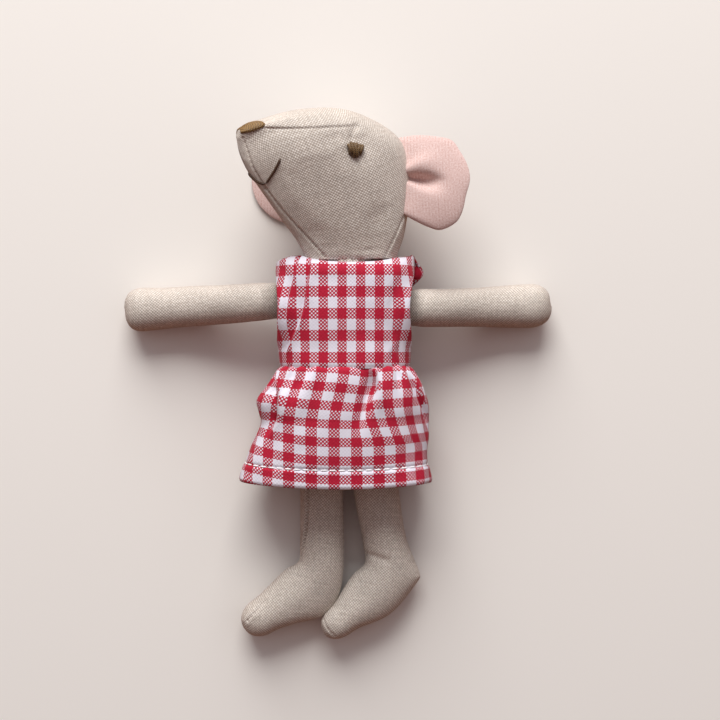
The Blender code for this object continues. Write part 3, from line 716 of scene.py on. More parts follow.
@dataclass(frozen=True)
class Gingham(Finish):
    """Yarn-dyed cotton gingham in red and white.

    Where red crosses red it is full red, where white crosses white it is white, and where they cross each
    other the threads show in turn as fine dots. Washed cotton, matt, with a slight pile.
    """

    sheen: float = 0.1
    specular: float = 0.25
    red: str = "#c2203e"
    deep_red: str = "#a30f2a"
    white: str = "#e6e3ef"
    repeat: tuple[float, float] = (5.88 * MM, 6.91 * MM)
    origin: tuple[float, float] = (0.0, 0.0)
    # Threads of such cloth lie about 0.3 mm apart, under a pixel, so they are drawn wider.
    pitch: float = 0.58 * MM

    def paint(self, tree: Tree) -> dict[str, Any]:
        """Red and white stripes both ways, and the threads that show where they cross.

        Args:
            tree: the material's tree.

        Returns:
            What goes into the shader's sockets, by name.
        """
        place = self.cloth_place(tree)
        axes = self.cloth_axes(tree, place)
        stripes = []
        for axis, repeat, origin in zip(axes, self.repeat, self.origin):
            count = add_node(tree, "Math", {"operation": "MULTIPLY_ADD"},
                             {0: axis, 1: 1 / repeat, 2: 0.25 - origin / repeat})
            share = add_node(tree, "Math", {"operation": "FRACT"}, {0: count})
            stripes.append(add_node(tree, "Math", {"operation": "LESS_THAN"}, {0: share, 1: 0.5}))
        wave = self.weave(tree, axes, self.pitch)
        # The dyed yarn is thicker, so it hides more of the white one than the other way round.
        over = add_node(tree, "MapRange", {}, {"Value": wave, "From Min": -0.6, "From Max": 0.05})
        both = add_node(tree, "Math", {"operation": "MULTIPLY"}, {0: stripes[0], 1: stripes[1]})
        differ = add_node(tree, "Math", {"operation": "SUBTRACT"}, {0: stripes[0], 1: stripes[1]})
        one = add_node(tree, "Math", {"operation": "ABSOLUTE"}, {0: differ})
        share_red = add_node(tree, "Math", {"operation": "MULTIPLY_ADD"}, {0: one, 1: over, 2: both})
        yarns = add_node(tree, "TexNoise", {"noise_dimensions": "2D"},
                         {"Vector": place, "Scale": 1 / self.pitch, "Detail": 2.0})
        dye = add_node(tree, "Mix", {"data_type": "RGBA"},
                       {0: yarns, 6: linear(self.deep_red), 7: linear(self.red)})
        colour = add_node(tree, "Mix", {"data_type": "RGBA"}, {0: share_red, 6: linear(self.white), 7: dye})
        height = add_node(tree, "Math", {"operation": "ADD"}, {0: wave, 1: yarns})
        bump = add_node(tree, "Bump", {},
                        {"Strength": 0.3, "Distance": 0.15 * self.pitch, "Height": height})
        return {"Base Color": colour, "Normal": bump}


@dataclass(frozen=True)
class Flannel(Finish):
    """Pink cotton flannel, woven as a twill and brushed on its face.

    The raised nap is soft and matt, lighter where it is seen edge on, and hides all but a hint of the ribs.
    """

    sheen: float = 0.35
    specular: float = 0.2
    nap: str = "#e5cfcb"
    ground: str = "#c8a198"
    rib: float = 1.0 * MM
    rib_height: float = 0.04
    tuft: float = 0.5 * MM

    def paint(self, tree: Tree) -> dict[str, Any]:
        """Nap, faint ribs and the sheen of raised fibres.

        Args:
            tree: the material's tree.

        Returns:
            What goes into the shader's sockets, by name.
        """
        place = self.cloth_place(tree)
        across, _ = self.cloth_axes(tree, place)
        tufts = add_node(tree, "TexNoise", {"noise_dimensions": "2D"},
                         {"Vector": place, "Scale": 1 / self.tuft, "Detail": 4.0, "Roughness": 0.7})
        turn = add_node(tree, "Math", {"operation": "MULTIPLY"}, {0: across, 1: 2 * math.pi / self.rib})
        wave = add_node(tree, "Math", {"operation": "SINE"}, {0: turn})
        ribs = add_node(tree, "Math", {"operation": "MULTIPLY_ADD"},
                        {0: wave, 1: self.rib_height, 2: tufts})
        share = add_node(tree, "MapRange", {}, {"Value": ribs, "From Min": 0.25, "From Max": 0.7})
        colour = add_node(tree, "Mix", {"data_type": "RGBA"},
                          {0: share, 6: linear(self.ground), 7: linear(self.nap)})
        bump = add_node(tree, "Bump", {}, {"Strength": 0.35, "Distance": 0.3 * self.tuft, "Height": ribs})
        return {"Base Color": colour, "Normal": bump, "Sheen Roughness": 0.5,
                "Sheen Tint": linear(self.nap)}


@dataclass(frozen=True)
class Thread(Finish):
    """Plied cotton thread, mercerised.

    Its twisted plies run round it as slanting ridges, with a soft gloss and a painted highlight along their
    crests and painted shade in the grooves between them.
    """

    sheen: float = 0.1
    # Colour on the crests of the plies, a painted highlight, and in the grooves between them, painted shade.
    lit_crest: str = "#86663a"
    groove: str = "#2b1a08"
    ply: float = 0.7 * MM

    def paint(self, tree: Tree) -> dict[str, Any]:
        """The twist of the plies, with a painted highlight on their crests and painted shade in the grooves.

        Args:
            tree: the material's tree.

        Returns:
            What goes into the shader's sockets, by name.
        """
        across, along = self.cloth_axes(tree, self.cloth_place(tree))
        slant = add_node(tree, "Math", {"operation": "ADD"}, {0: across, 1: along})
        turn = add_node(tree, "Math", {"operation": "MULTIPLY"}, {0: slant, 1: 2 * math.pi / self.ply})
        wave = add_node(tree, "Math", {"operation": "SINE"}, {0: turn})
        # Share of the painted highlight round the twist; the rest is painted shade.
        share = add_node(tree, "MapRange", {}, {"Value": wave, "From Min": -1.0})
        colour = add_node(tree, "Mix", {"data_type": "RGBA"},
                          {0: share, 6: linear(self.groove), 7: linear(self.lit_crest)})
        bump = add_node(tree, "Bump", {}, {"Strength": 0.4, "Distance": 0.15 * self.ply, "Height": wave})
        return {"Base Color": colour, "Normal": bump}


@dataclass(frozen=True)
class NickelPlate(Finish):
    """Stamped brass press stud, nickel plated: a pale metal with a satin face and fine rubbing marks."""

    plate: str = "#c9c6c0"
    rubbed: float = 1.2 * MM
    polished: float = 0.1
    worn: float = 0.15

    def paint(self, tree: Tree) -> dict[str, Any]:
        """Metal with uneven gloss.

        Args:
            tree: the material's tree.

        Returns:
            What goes into the shader's sockets, by name.
        """
        place = add_node(tree, "NewGeometry", {}, {})
        marks = add_node(tree, "TexNoise", {},
                         {"Vector": place.outputs["Position"], "Scale": 1 / self.rubbed, "Detail": 3.0})
        gloss = add_node(tree, "MapRange", {}, {"Value": marks, "To Min": self.roughness - self.polished,
                                                "To Max": self.roughness + self.worn})
        return {"Roughness": gloss, "Base Color": linear(self.plate), "Metallic": 1.0}


@dataclass(frozen=True)
class PaperFloor(Finish):
    """Studio background paper: pale, matt and even, with a very faint grain."""

    sheet: str = "#f4f1ec"
    # What the doll sees of it: a warm mid tone, so that the shadows under the limbs stay deep and warm.
    bounce: str = "#93623f"
    grain: float = 3.0 * MM

    def paint(self, tree: Tree) -> dict[str, Any]:
        """Pale to the camera, with a faint grain.

        Args:
            tree: the material's tree.

        Returns:
            What goes into the shader's sockets, by name.
        """
        place = add_node(tree, "NewGeometry", {}, {})
        fibres = add_node(tree, "TexNoise", {},
                          {"Vector": place.outputs["Position"], "Scale": 1 / self.grain, "Detail": 2.0})
        bump = add_node(tree, "Bump", {},
                        {"Strength": 0.05, "Distance": 0.02 * self.grain, "Height": fibres})
        seen = add_node(tree, "LightPath", {}, {})
        colour = add_node(tree, "Mix", {"data_type": "RGBA"},
                          {0: seen.outputs["Is Camera Ray"], 6: linear(self.bounce), 7: linear(self.sheet)})
        return {"Base Color": colour, "Normal": bump}


class Slot(Enum):
    """The record's material slots."""

    CANVAS = "canvas"
    GINGHAM = "gingham"
    FLANNEL = "flannel"
    THREAD = "thread"
    STUD = "stud"


class Side(Enum):
    """The doll's own left, towards +X, and right."""

    LEFT = 1
    RIGHT = -1

    @property
    def label(self) -> str:
        """The word that names of bodies and nodes start with."""
        return self.name.lower()


@dataclass(frozen=True)
class Fold:
    """A fold or crease of the dress, laid where the photograph shows it.

    It is deepest at its first point and fades to nothing over its last part. taken is the cloth that it hides
    at its first point, and drag how far it pulls down the cloth beside it.
    """

    line: Line
    depth: float
    width: float
    taken: float = 0.0
    fades_from: float = 0.5
    lip: float = 0.0
    drag: float = 0.0
    drag_reach: float = 9.0 * MM
    opening: float = 6.0 * MM
    moves_right: bool = True

    def profile(self, crosses: Array) -> Array:
        """Height across the fold: a round valley with a raised lip to the left of its line."""
        raised = self.lip * hump(crosses - 2.0 * self.width, 1.2 * self.width)
        return raised - self.depth * hump(crosses, self.width)

    def press(self, surface: Surface, count: int = 28) -> None:
        """Press the fold into a surface, take up its cloth, and drag down what lies to the right of its line.

        Args:
            surface: what carries the fold.
            count: points of the laid line.
        """
        near = nearness(surface.points, PHOTO.onto(self.line, surface, count))
        share = near.run / near.length
        keeps = 1 - smooth((share - self.fades_from) / (1 - self.fades_from))
        opens = smooth(0.1 + near.run / self.opening)
        crosses = near.side * near.distance
        left_stays = smooth(0.5 + crosses / (2.4 * self.width))
        hidden = self.taken * keeps * (left_stays - (0 if self.moves_right else 1))
        dragged = self.drag * keeps * hump(np.minimum(crosses, 0), self.drag_reach) * (crosses < self.width)
        surface.push(self.profile(crosses) * keeps * opens)
        extra = ((0, 0), (0, surface.cloth.shape[1] - surface.shape[1]))
        surface.cloth[..., 0] += np.pad(hidden, extra, mode="wrap")
        surface.cloth[..., 1] -= np.pad(dragged, extra, mode="wrap")


@dataclass(frozen=True)
class Pleat(Fold):
    """A sharp pleat: the cloth to the left of its line laps over the cloth to the right."""

    moves_right: bool = False

    def profile(self, crosses: Array) -> Array:
        """Height across the pleat: a step down from its lapped edge.

        Args:
            crosses: distance from the line, positive to its left.

        Returns:
            One height for each distance.
        """
        place = crosses / self.width
        over = smooth(0.5 + place / 2)
        upper = over * self.lip * np.exp(-np.maximum(place, 0) / 4)
        return upper - (1 - over) * self.depth * np.exp(np.minimum(place, 0) / 2.5)


# Head and face

@dataclass
class Head:
    """The stuffed canvas head: two side panels sewn along snout, chin and back, with a dart to the eye."""

    pivot: tuple[float, float, float] = (2.0 * MM, 21.3 * MM, 17.44 * MM)
    turn: float = math.radians(60)
    rim: float = 1.8 * MM
    # Outlines from the side in mm, forward and up from the neck, evenly spaced from it to the snout's tip.
    throat: Line = ((15.2, -1.2), (18.6, 4.8), (25.0, 12.2), (31.4, 20.0),
                    (36.2, 25.6), (39.0, 30.8), (39.8, 35.0), (39.2, 37.8))
    crown: Line = ((-13.6, -0.5), (-16.6, 9.5), (-18.2, 23.0), (-14.6, 38.6),
                   (1.5, 46.4), (18.1, 45.5), (31.7, 41.3), (36.3, 40.0))
    half_widths: tuple[float, ...] = (13.2, 15.4, 17.0, 17.6, 14.2, 8.8, 4.9, 2.0)
    fullness: float = 0.08
    # How much wider the head is towards its crown than towards its throat, up to where the snout begins.
    wedge: float = 0.6
    wedge_evening: float = 0.4
    snout_begins: float = 0.75
    lumps: Lumps = Lumps(0.25 * MM, (9, 12), 3)
    tip: float = 0.995
    grid: tuple[int, int] = (170, 260)
    thread_turn: float = math.radians(20)
    panel_middle: tuple[float, float] = (6.0 * MM, 26.0 * MM)
    seam_depths: tuple[float, ...] = (0.22 * MM, 0.3 * MM, 0.45 * MM, 0.3 * MM)
    seam_width: float = 0.42 * MM
    seam_lip: float = 0.25 * MM
    seam_points: int = 36
    stitch: float = 1.6 * MM
    # Seams in the photograph.
    dart: Line = ((262, 128), (285, 128.5), (310, 128), (345, 126.5), (358, 125.5))
    eye_crease: Line = ((357, 126), (353, 133), (352, 142))
    snout_seam: Line = ((243, 138), (248, 152), (253, 167), (260, 179), (266, 189))
    chin_seam: Line = ((266, 189), (285, 213), (310, 240), (325, 257))
    back_seam: Line = ((404, 217), (396, 235), (385, 257))
    eye_crease_points: int = 12
    eye_crease_depth: float = 0.5 * MM
    eye_crease_width: float = 1.0 * MM
    eye_middle: Pixel = (354.7, 150)
    eye_hollow: float = 0.9 * MM
    eye_hollow_width: float = 4.2 * MM
    surface: Surface = field(init=False)

    def to_world(self, local: Array) -> Array:
        """Turn places in the head's own frame, left, up and forward, into the doll's.

        Args:
            local: places in the head's own frame.

        Returns:
            The same places in the doll's frame.
        """
        c, s = math.cos(self.turn), math.sin(self.turn)
        x, y, z = local[..., 0], local[..., 1], local[..., 2]
        return np.stack([c * x - s * z, y, s * x + c * z], axis=-1) + np.array(self.pivot)

    def to_local(self, world: Array) -> Array:
        """Turn places in the doll's frame into the head's own.

        Args:
            world: places in the doll's frame.

        Returns:
            The same places in the head's own frame.
        """
        c, s = math.cos(self.turn), math.sin(self.turn)
        x, y, z = np.moveaxis(np.asarray(world) - np.array(self.pivot), -1, 0)
        return np.stack([c * x + s * z, y, -s * x + c * z], axis=-1)

    def spot(self, share: Array, angle: Array, lift: float = 0.0) -> Array:
        """Points over the head.

        Args:
            share: 0 at the neck, 1 at the snout's tip.
            angle: 0 at the crown, positive towards the doll's left.
            lift: how far above the surface, in metres.

        Returns:
            Points in the head's own frame.
        """
        low, high = (curve(line, share) * MM + np.array((0, self.rim)) for line in (self.throat, self.crown))
        width = curve(self.half_widths, share) * MM
        c, s = rounded(angle, self.fullness)
        half = (high - low) / 2 * c[..., None]
        wedge = self.wedge * (1 - smooth((share - self.snout_begins) / (1 - self.snout_begins)))
        beside = width * s * (1 + wedge * c) / (1 + self.wedge_evening * wedge ** 2)
        out = np.stack([beside, half[..., 1], half[..., 0]], axis=-1)
        middle = (high + low) / 2
        centre = np.stack([np.zeros_like(width), middle[..., 1], middle[..., 0]], axis=-1)
        return centre + out * (1 + lift / np.maximum(np.linalg.norm(out, axis=-1, keepdims=True), 1e-9))

    def lay_cloth(self, local: Array, angle: Array) -> Array:
        """Spread each side panel flat from its middle, as cloth eased over a rounded form.

        Args:
            local: points in the head's own frame.
            angle: their angles round the head.

        Returns:
            Where each point lies on the flat cloth.
        """
        reach = np.clip(np.abs(rounded(angle, self.fullness)[1]), 0, 0.9999)
        stretch = np.arccos(reach) / np.sqrt(1 - reach ** 2)
        forward, up = self.panel_middle
        flat = np.stack([local[..., 2] - forward, local[..., 1] - up], axis=-1)
        return flat * stretch[..., None]

    def lay_seams(self, skin: Surface) -> list[Array]:
        """Lay the four seams on the head as it is now."""
        lines = (self.dart, self.snout_seam, self.chin_seam, self.back_seam)
        return [PHOTO.onto(line, skin, self.seam_points) for line in lines]

    def form(self) -> Surface:
        """The bare stuffed form, closed at the neck.

        Returns:
            Its surface.
        """
        rows, columns = self.grid
        share = np.linspace(0, self.tip, rows)[:, None] * np.ones(columns)
        angle = np.ones((rows, 1)) * 2 * math.pi * np.arange(columns) / columns
        local = self.spot(share, angle)
        cloth = self.lay_cloth(local, angle)
        cloth = np.concatenate([cloth, cloth[:, :1]], axis=1)
        world = self.to_world(local)
        skin = Surface(world, world.mean(axis=1, keepdims=True), cloth=cloth)
        skin.turn_cloth(self.thread_turn)
        return skin

    def make(self, material: Material) -> Object:
        """Build the head with its seams and the hollow that the eye's thread pulls.

        Args:
            material: its finish.

        Returns:
            The piece.
        """
        skin = self.form()
        skin.push(self.lumps.over(skin.shape, closed=True))
        STUFFING.fill(skin, self.lay_seams(skin))
        seams = self.lay_seams(skin)
        crease = PHOTO.onto(self.eye_crease, skin, self.eye_crease_points)
        eye = PHOTO.onto((self.eye_middle, self.eye_middle), skin, 1)
        mirror = self.to_local(eye) * np.array((-1, 1, 1))
        for spot in (eye[0], self.to_world(mirror)[0]):
            away = np.linalg.norm(skin.points - spot, axis=2)
            skin.push(-self.eye_hollow * hump(away, self.eye_hollow_width))
        for seam, depth in zip(seams, self.seam_depths):
            skin.groove(seam, depth, self.seam_width, self.stitch, self.seam_lip)
        skin.groove(crease, self.eye_crease_depth, self.eye_crease_width)
        skin.rest_on_floor()
        self.surface = skin
        item = build("head", [skin], material)
        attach(item, "head")
        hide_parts("head_skin", "head_stuffing")
        return item


@dataclass
class Face:
    """The face, stitched in brown thread: a satin-stitch nose, a straight-stitch mouth and knotted eyes."""

    head: Head
    thread: float = 0.4 * MM
    nose_half_angle: float = math.radians(138)
    # Where the nose ends on the snout, evenly spaced from the crown round to its lowest stitch.
    nose_edge: tuple[float, ...] = (0.885, 0.882, 0.868, 0.843, 0.815, 0.835, 0.89, 0.93)
    nose_stitches: int = 45
    # How far round the right side is sewn, as a share of the left.
    nose_right_share: float = 0.76
    nose_lift: float = 0.75 * MM
    nose_sink: float = 0.25 * MM
    # Points of each nose stitch along the snout, and over its tip.
    nose_points: int = 22
    tip_points: int = 5
    mouth: tuple[Line, ...] = (((280.5, 158), (275, 169), (265.5, 184)),
                               ((265.5, 184), (256, 180), (248, 172)))
    mouth_points: int = 18
    mouth_thread: float = 0.4 * MM
    mouth_lift: float = 0.3 * MM
    eye_half_width: float = 2.0 * MM
    eye_half_height: float = 2.45 * MM
    eye_stitches: int = 5
    eye_points: int = 14
    eye_thread: float = 0.55 * MM
    # How each layer of the knot slants, how far the first lies up and how far the next ones lie on it.
    eye_leans: tuple[float, ...] = (0.0, 0.45, -0.45)
    eye_lift: float = 0.25 * MM
    eye_layer: float = 0.45 * MM
    eye_dome: float = 0.8 * MM
    eye_tuck: float = 0.6 * MM
    # The notch in the knot's upper edge: its depth, its place and its width.
    eye_notch: float = 0.9 * MM
    eye_notch_place: float = 0.3
    eye_notch_width: float = 0.35

    def dress(self, item: Object, node: str) -> None:
        """Put a stitched piece on the head in place of its CAD solid.

        Args:
            item: the stitched piece.
            node: the CAD solid that it replaces.
        """
        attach(item, "head")
        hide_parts(node)

    def make_nose(self, material: Material) -> None:
        """Satin stitches side by side, each from the tip of the snout to the nose's edge.

        Args:
            material: the thread's finish.
        """
        strands = []
        tip = self.head.spot(np.full(60, self.head.tip), np.linspace(0, 2 * math.pi, 60)).mean(axis=0)
        for place in np.linspace(-self.nose_right_share, 1, self.nose_stitches):
            edge = float(curve(self.nose_edge, abs(place)))
            share = np.linspace(edge, self.head.tip, self.nose_points)
            angle = np.full(self.nose_points, self.nose_half_angle * place)
            bare = self.head.spot(share, angle)
            above = (self.head.spot(share, angle, MM) - bare) / MM
            over = np.linspace(0.2, 0.9, self.tip_points)[:, None]
            bare = np.concatenate([bare, bare[-1] + (tip - bare[-1]) * over])
            above = np.concatenate([above, np.repeat(above[-1:], self.tip_points, axis=0) * 0.4])
            along = np.linspace(0, 1, len(bare))[:, None]
            lift = self.nose_lift * np.minimum(np.sqrt(along / 0.25), 1) - self.nose_sink
            strands.append(strand(self.head.to_world(bare + above * lift), self.thread, taper=0.06))
        self.dress(build("nose_stitches", strands, material), "nose")

    def make_mouth(self, material: Material) -> None:
        """Two straight stitches that meet at the chin.

        Args:
            material: the thread's finish.
        """
        strands = []
        for line in self.mouth:
            path = PHOTO.onto(line, self.head.surface, self.mouth_points)
            out = path - self.head.surface.core[self.head.grid[0] * 2 // 3, 0]
            out /= np.linalg.norm(out, axis=1, keepdims=True)
            share = np.linspace(-1, 1, self.mouth_points)[:, None]
            path = path + out * self.mouth_lift * (1 - 1.6 * share ** 8)
            strands.append(strand(path, self.mouth_thread, taper=0.12))
        self.dress(build("mouth_stitches", strands, material), "mouth")

    def make_eyes(self, material: Material) -> None:
        """A knot of short stitches at each side: two slanting layers over a straight one, notched at the top.

        Args:
            material: the thread's finish.
        """
        skin = self.head.surface
        seen = self.head.to_local(PHOTO.onto((self.head.eye_middle, self.head.eye_middle), skin, 1))[0]
        near = np.linalg.norm(self.head.to_local(skin.points) - seen, axis=2)
        row, column = np.unravel_index(np.argmin(near), near.shape)
        world_normal = skin.crossing()[row, column] * skin.outwards()
        normal = self.head.to_local(world_normal + np.array(self.head.pivot))
        up = HEADWARD - normal * normal[1]
        up /= np.linalg.norm(up)
        right = np.cross(up, normal)
        for side in Side:
            strands = []
            for layer, lean in enumerate(self.eye_leans):
                for place in np.linspace(-1, 1, self.eye_stitches):
                    if layer and place * lean < -0.2:
                        continue
                    run = np.linspace(-1, 1, self.eye_points)[:, None]
                    tall = self.eye_half_height * math.sqrt(1.08 - 0.7 * place ** 2)
                    dip = self.eye_notch * hump(place - self.eye_notch_place, self.eye_notch_width)
                    x = self.eye_half_width * place * (0.92 + 0.12 * run) + lean * tall * run * 0.5
                    y = tall * run - dip * np.maximum(run, 0)
                    lift = self.eye_lift + self.eye_layer * layer
                    lift = lift + self.eye_dome * (1 - run ** 2) - self.eye_tuck * run ** 6
                    strands.append(seen + right * x + up * y + normal * lift)
            flip = np.array((side.value, 1, 1))
            made = [strand(self.head.to_world(path * flip), self.eye_thread, taper=0.1) for path in strands]
            self.dress(build(side.label + "_eye_knot", made, material), side.label + "_eye")


# Ears and neck

@dataclass
class Ear:
    """A flannel ear of two layers turned out at the rim, sewn to the head along its base."""

    side: Side
    origin: tuple[float, float, float]
    out: tuple[float, float, float]
    up: tuple[float, float, float]
    rim: Line
    thickness: float = 2.4 * MM
    cup: float = 0.0
    cup_half_width: float = 14.6 * MM
    crease: float = 0.0
    crease_rise: float = 0.0
    crease_fall: float = 0.0
    crease_reach: float = 18.0 * MM
    # Depth as a share of the greatest, and width in mm, evenly spaced along the crease from the base.
    crease_depths: tuple[float, ...] = (0.35, 0.75, 1.0, 0.8, 0.35, 0.05, 0.0)
    crease_widths: tuple[float, ...] = (0.7, 1.1, 1.7, 2.1, 2.4, 2.6, 2.6)
    lumps: Lumps = Lumps(0.3 * MM, (7, 6), 11)
    grid: tuple[int, int] = (150, 72)

    @property
    def axes(self) -> Array:
        """Out from the head, up along the base and out of the face, as rows."""
        out, up = np.array(self.out), np.array(self.up)
        return np.array((out, up, np.cross(out, up)))

    def middle_height(self, x: Array, y: Array) -> Array:
        """How far the ear stands out of its own plane: cupped, and pinched to one hollow from its base.

        Args:
            x: distances out from the base.
            y: places up along the base.

        Returns:
            One height for each place.
        """
        share = np.clip(x / self.crease_reach, 0, 1)
        depth = self.crease * curve(self.crease_depths, share)
        width = curve(self.crease_widths, share) * MM
        offset = y - self.crease_rise + self.crease_fall * x
        across = np.where(offset > 0, offset / (0.8 * width), offset / (1.3 * width))
        brow = 0.3 * depth * hump(offset - 2.6 * width, 1.5 * width)
        return self.cup * (y / self.cup_half_width) ** 2 - depth * np.exp(-across ** 2) + brow

    def make(self, material: Material) -> Object:
        """Build both layers as one turned-out ear.

        Args:
            material: its finish.

        Returns:
            The piece.
        """
        rows, columns = self.grid
        along = np.linspace(0, 1, rows)[:, None]
        edge = curve(self.rim, along[:, 0])[:, None, :]
        base = edge[0] + (edge[-1] - edge[0]) * along[..., None]
        turn = np.linspace(0, 2, columns, endpoint=False) + 1 / columns
        share = np.where(turn < 1, turn, 2 - turn)
        share = np.sin(share * math.pi / 2)[None, :, None]
        flat = base + (edge - base) * share
        x, y = flat[..., 0], flat[..., 1]
        reach = share[..., 0]
        round_rim = np.sqrt(np.clip(1 - reach ** 5, 0.0, 1)) * (0.55 + 0.45 * smooth(reach / 0.4))
        round_ends = np.sqrt(np.clip(1 - (2 * along - 1) ** 10, 0.02, 1))
        half = self.thickness / 2 * round_rim * round_ends * np.where(turn < 1, 1, -1)[None]
        uneven = self.lumps.over((rows, columns), closed=True) * smooth(reach)
        height = self.middle_height(x, y) + half + uneven
        local = np.stack([x, y, height], axis=-1)
        points = np.array(self.origin) + local @ self.axes
        cloth = np.concatenate([flat, flat[:, :1]], axis=1)
        skin = Surface(points, points.mean(axis=1, keepdims=True), cloth=cloth)
        label = self.side.label + "_ear"
        item = build(label, [skin], material)
        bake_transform(item)
        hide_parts(label + "_front", label + "_back")
        return item


@dataclass
class Neck:
    """A ball of stuffed canvas between the torso and the head, with the gathers of its drawn end."""

    middle: tuple[float, float, float] = (2.0 * MM, 21.3 * MM, 17.44 * MM)
    radius: float = 10.2 * MM
    lowest: float = math.radians(-22)
    highest: float = math.radians(86)
    gathers: int = 26
    gather_height: float = 0.2 * MM
    grid: tuple[int, int] = (36, 104)

    def make(self, material: Material) -> Object:
        """Build the ball.

        Args:
            material: its finish.

        Returns:
            The piece.
        """
        rows, columns = self.grid
        rise = np.linspace(self.lowest, self.highest, rows)
        centre = np.array(self.middle) + np.outer(self.radius * np.sin(rise), HEADWARD)
        size = self.radius * np.cos(rise)[:, None]
        points = rings(centre, size * LEFTWARD, size * OUTWARD, columns, 0.0)
        skin = Surface(points, centre[:, None])
        angle = 2 * math.pi * np.arange(columns) / columns
        skin.push(self.gather_height * np.cos(self.gathers * angle)[None] * np.cos(rise)[:, None])
        item = build("neck_ball", [skin], material)
        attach(item, "neck")
        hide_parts("neck")
        return item


# Body and limbs

@dataclass
class Torso:
    """The stuffed canvas body under the dress, flat at the seam that holds the legs."""

    top: float = 17.0 * MM
    length: float = 48.5 * MM
    middle: float = 15.7 * MM
    seam_height: float = 10.5 * MM
    neck_shift: float = 2.0 * MM
    # Half sections in mm, evenly spaced from the neck to the leg seam.
    half_widths: tuple[float, ...] = (9.5, 13.2, 15.0, 15.15, 18.43, 19.4, 16.68)
    half_depths: tuple[float, ...] = (8.12, 10.2, 11.37, 11.6, 11.37, 9.28, 1.0)
    fullness: float = 0.08
    slack: float = 0.2 * MM
    lumps: Lumps = Lumps(0.2 * MM, (6, 10), 21)
    grid: tuple[int, int] = (80, 96)

    def make(self, material: Material) -> Object:
        """Build the torso.

        Args:
            material: its finish.

        Returns:
            The piece.
        """
        rows, columns = self.grid
        share = np.linspace(0, 1, rows)
        shift = self.neck_shift * (1 - smooth(share / 0.3))
        height = ease(self.middle, self.seam_height, (share - 0.55) / 0.45)
        centre = np.stack([shift, self.top - self.length * share, height], axis=-1)
        across = np.outer(curve(self.half_widths, share) * MM, LEFTWARD)
        deep = np.outer(curve(self.half_depths, share) * MM, OUTWARD)
        skin = Surface(rings(centre, across, deep, columns, self.fullness), centre[:, None])
        skin.push(-self.slack - np.abs(self.lumps.over(skin.shape, closed=True)))
        STUFFING.fill(skin)
        item = build("torso", [skin], material)
        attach(item, "torso")
        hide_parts("torso_skin", "torso_stuffing")
        return item


@dataclass
class Tape:
    """A flat folded canvas tape, stitched flat, by which limbs hang from the torso."""

    node: str
    body: str
    run: tuple[float, float, float] = (0.0, 1.0, 0.0)
    fullness: float = 0.38
    grid: tuple[int, int] = (24, 32)

    def make(self, material: Material) -> Object:
        """Build the tape in the box of its CAD solid, with softened edges.

        Args:
            material: its finish.

        Returns:
            The piece.
        """
        low, high = (np.array(corner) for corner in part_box(self.node))
        rows, columns = self.grid
        share = np.linspace(-1, 1, rows)
        run = np.array(self.run)
        other = np.array((run[1], run[0], 0.0))
        half = (high - low) / 2
        round_end = np.clip(1 - np.abs(share) ** 12, 0.1, 1)[:, None]
        centre = (low + high) / 2 + np.outer(share, run * half)
        deep = round_end * OUTWARD * half
        points = rings(centre, round_end * other * half, deep, columns, self.fullness)
        item = build(self.node + "_folded", [Surface(points, centre[:, None])], material)
        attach(item, self.body)
        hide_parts(self.node)
        return item


@dataclass
class Arm:
    """A stuffed canvas arm: a straight tube with a round hand, sewn flat at the shoulder."""

    side: Side
    length: float
    root_rise: float
    hand_rise: float
    lumps: Lumps
    root_x: float = 18.1 * MM
    root_height: float = 15.7 * MM
    root_half_width: float = 6.25 * MM
    hand_half_width: float = 7.35 * MM
    half_depth: float = 7.0 * MM
    seam_half_depth: float = 1.0 * MM
    flat: float = 0.5 * MM
    taper: float = 9.0 * MM
    hand_round: float = 8.0 * MM
    hand_squareness: float = 2.8
    drop_share: float = 0.8
    bend_length: float = 19.0 * MM
    fullness: float = 0.07
    thread_turn: float = math.radians(4)
    grid: tuple[int, int] = (130, 96)

    def make(self, material: Material) -> Object:
        """Build the arm.

        Args:
            material: its finish.

        Returns:
            The piece.
        """
        rows, columns = self.grid
        even = np.linspace(0, 1, rows)
        run = self.length * (0.55 * even + 0.45 * np.sin(even * math.pi / 2))
        share = run / self.length
        tip = np.maximum(run - (self.length - self.hand_round), 0) / self.hand_round
        rounding = np.maximum(1 - tip ** self.hand_squareness, 0.004) ** (1 / self.hand_squareness)
        closing = np.sqrt(np.maximum(1 - tip ** 2, 0.004))
        filled = smooth(run / self.taper)
        width = ease(self.root_half_width, self.hand_half_width, (share - 0.3) / 0.7)
        width = width * (0.9 + 0.1 * filled) * rounding
        depth = ease(self.seam_half_depth, self.half_depth, run / self.taper) * closing
        height = ease(self.root_height, self.half_depth - self.flat, share / self.drop_share)
        rise = self.root_rise + (self.hand_rise - self.root_rise) * share
        centre = np.stack([self.side.value * (self.root_x + run), rise, height], axis=-1)
        across, deep = np.outer(width, HEADWARD), np.outer(depth, OUTWARD)
        points = rings(centre, across, deep, columns, self.fullness)
        skin = Surface(points, centre[:, None])
        skin.turn_cloth(self.thread_turn)
        skin.push(self.lumps.over(skin.shape, closed=True) * filled[:, None])
        STUFFING.fill(skin)
        skin.rest_on_floor()
        label = self.side.label + "_arm"
        item = build(label, [skin], material)
        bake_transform(item)
        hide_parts(label + "_skin", label + "_stuffing")
        return item


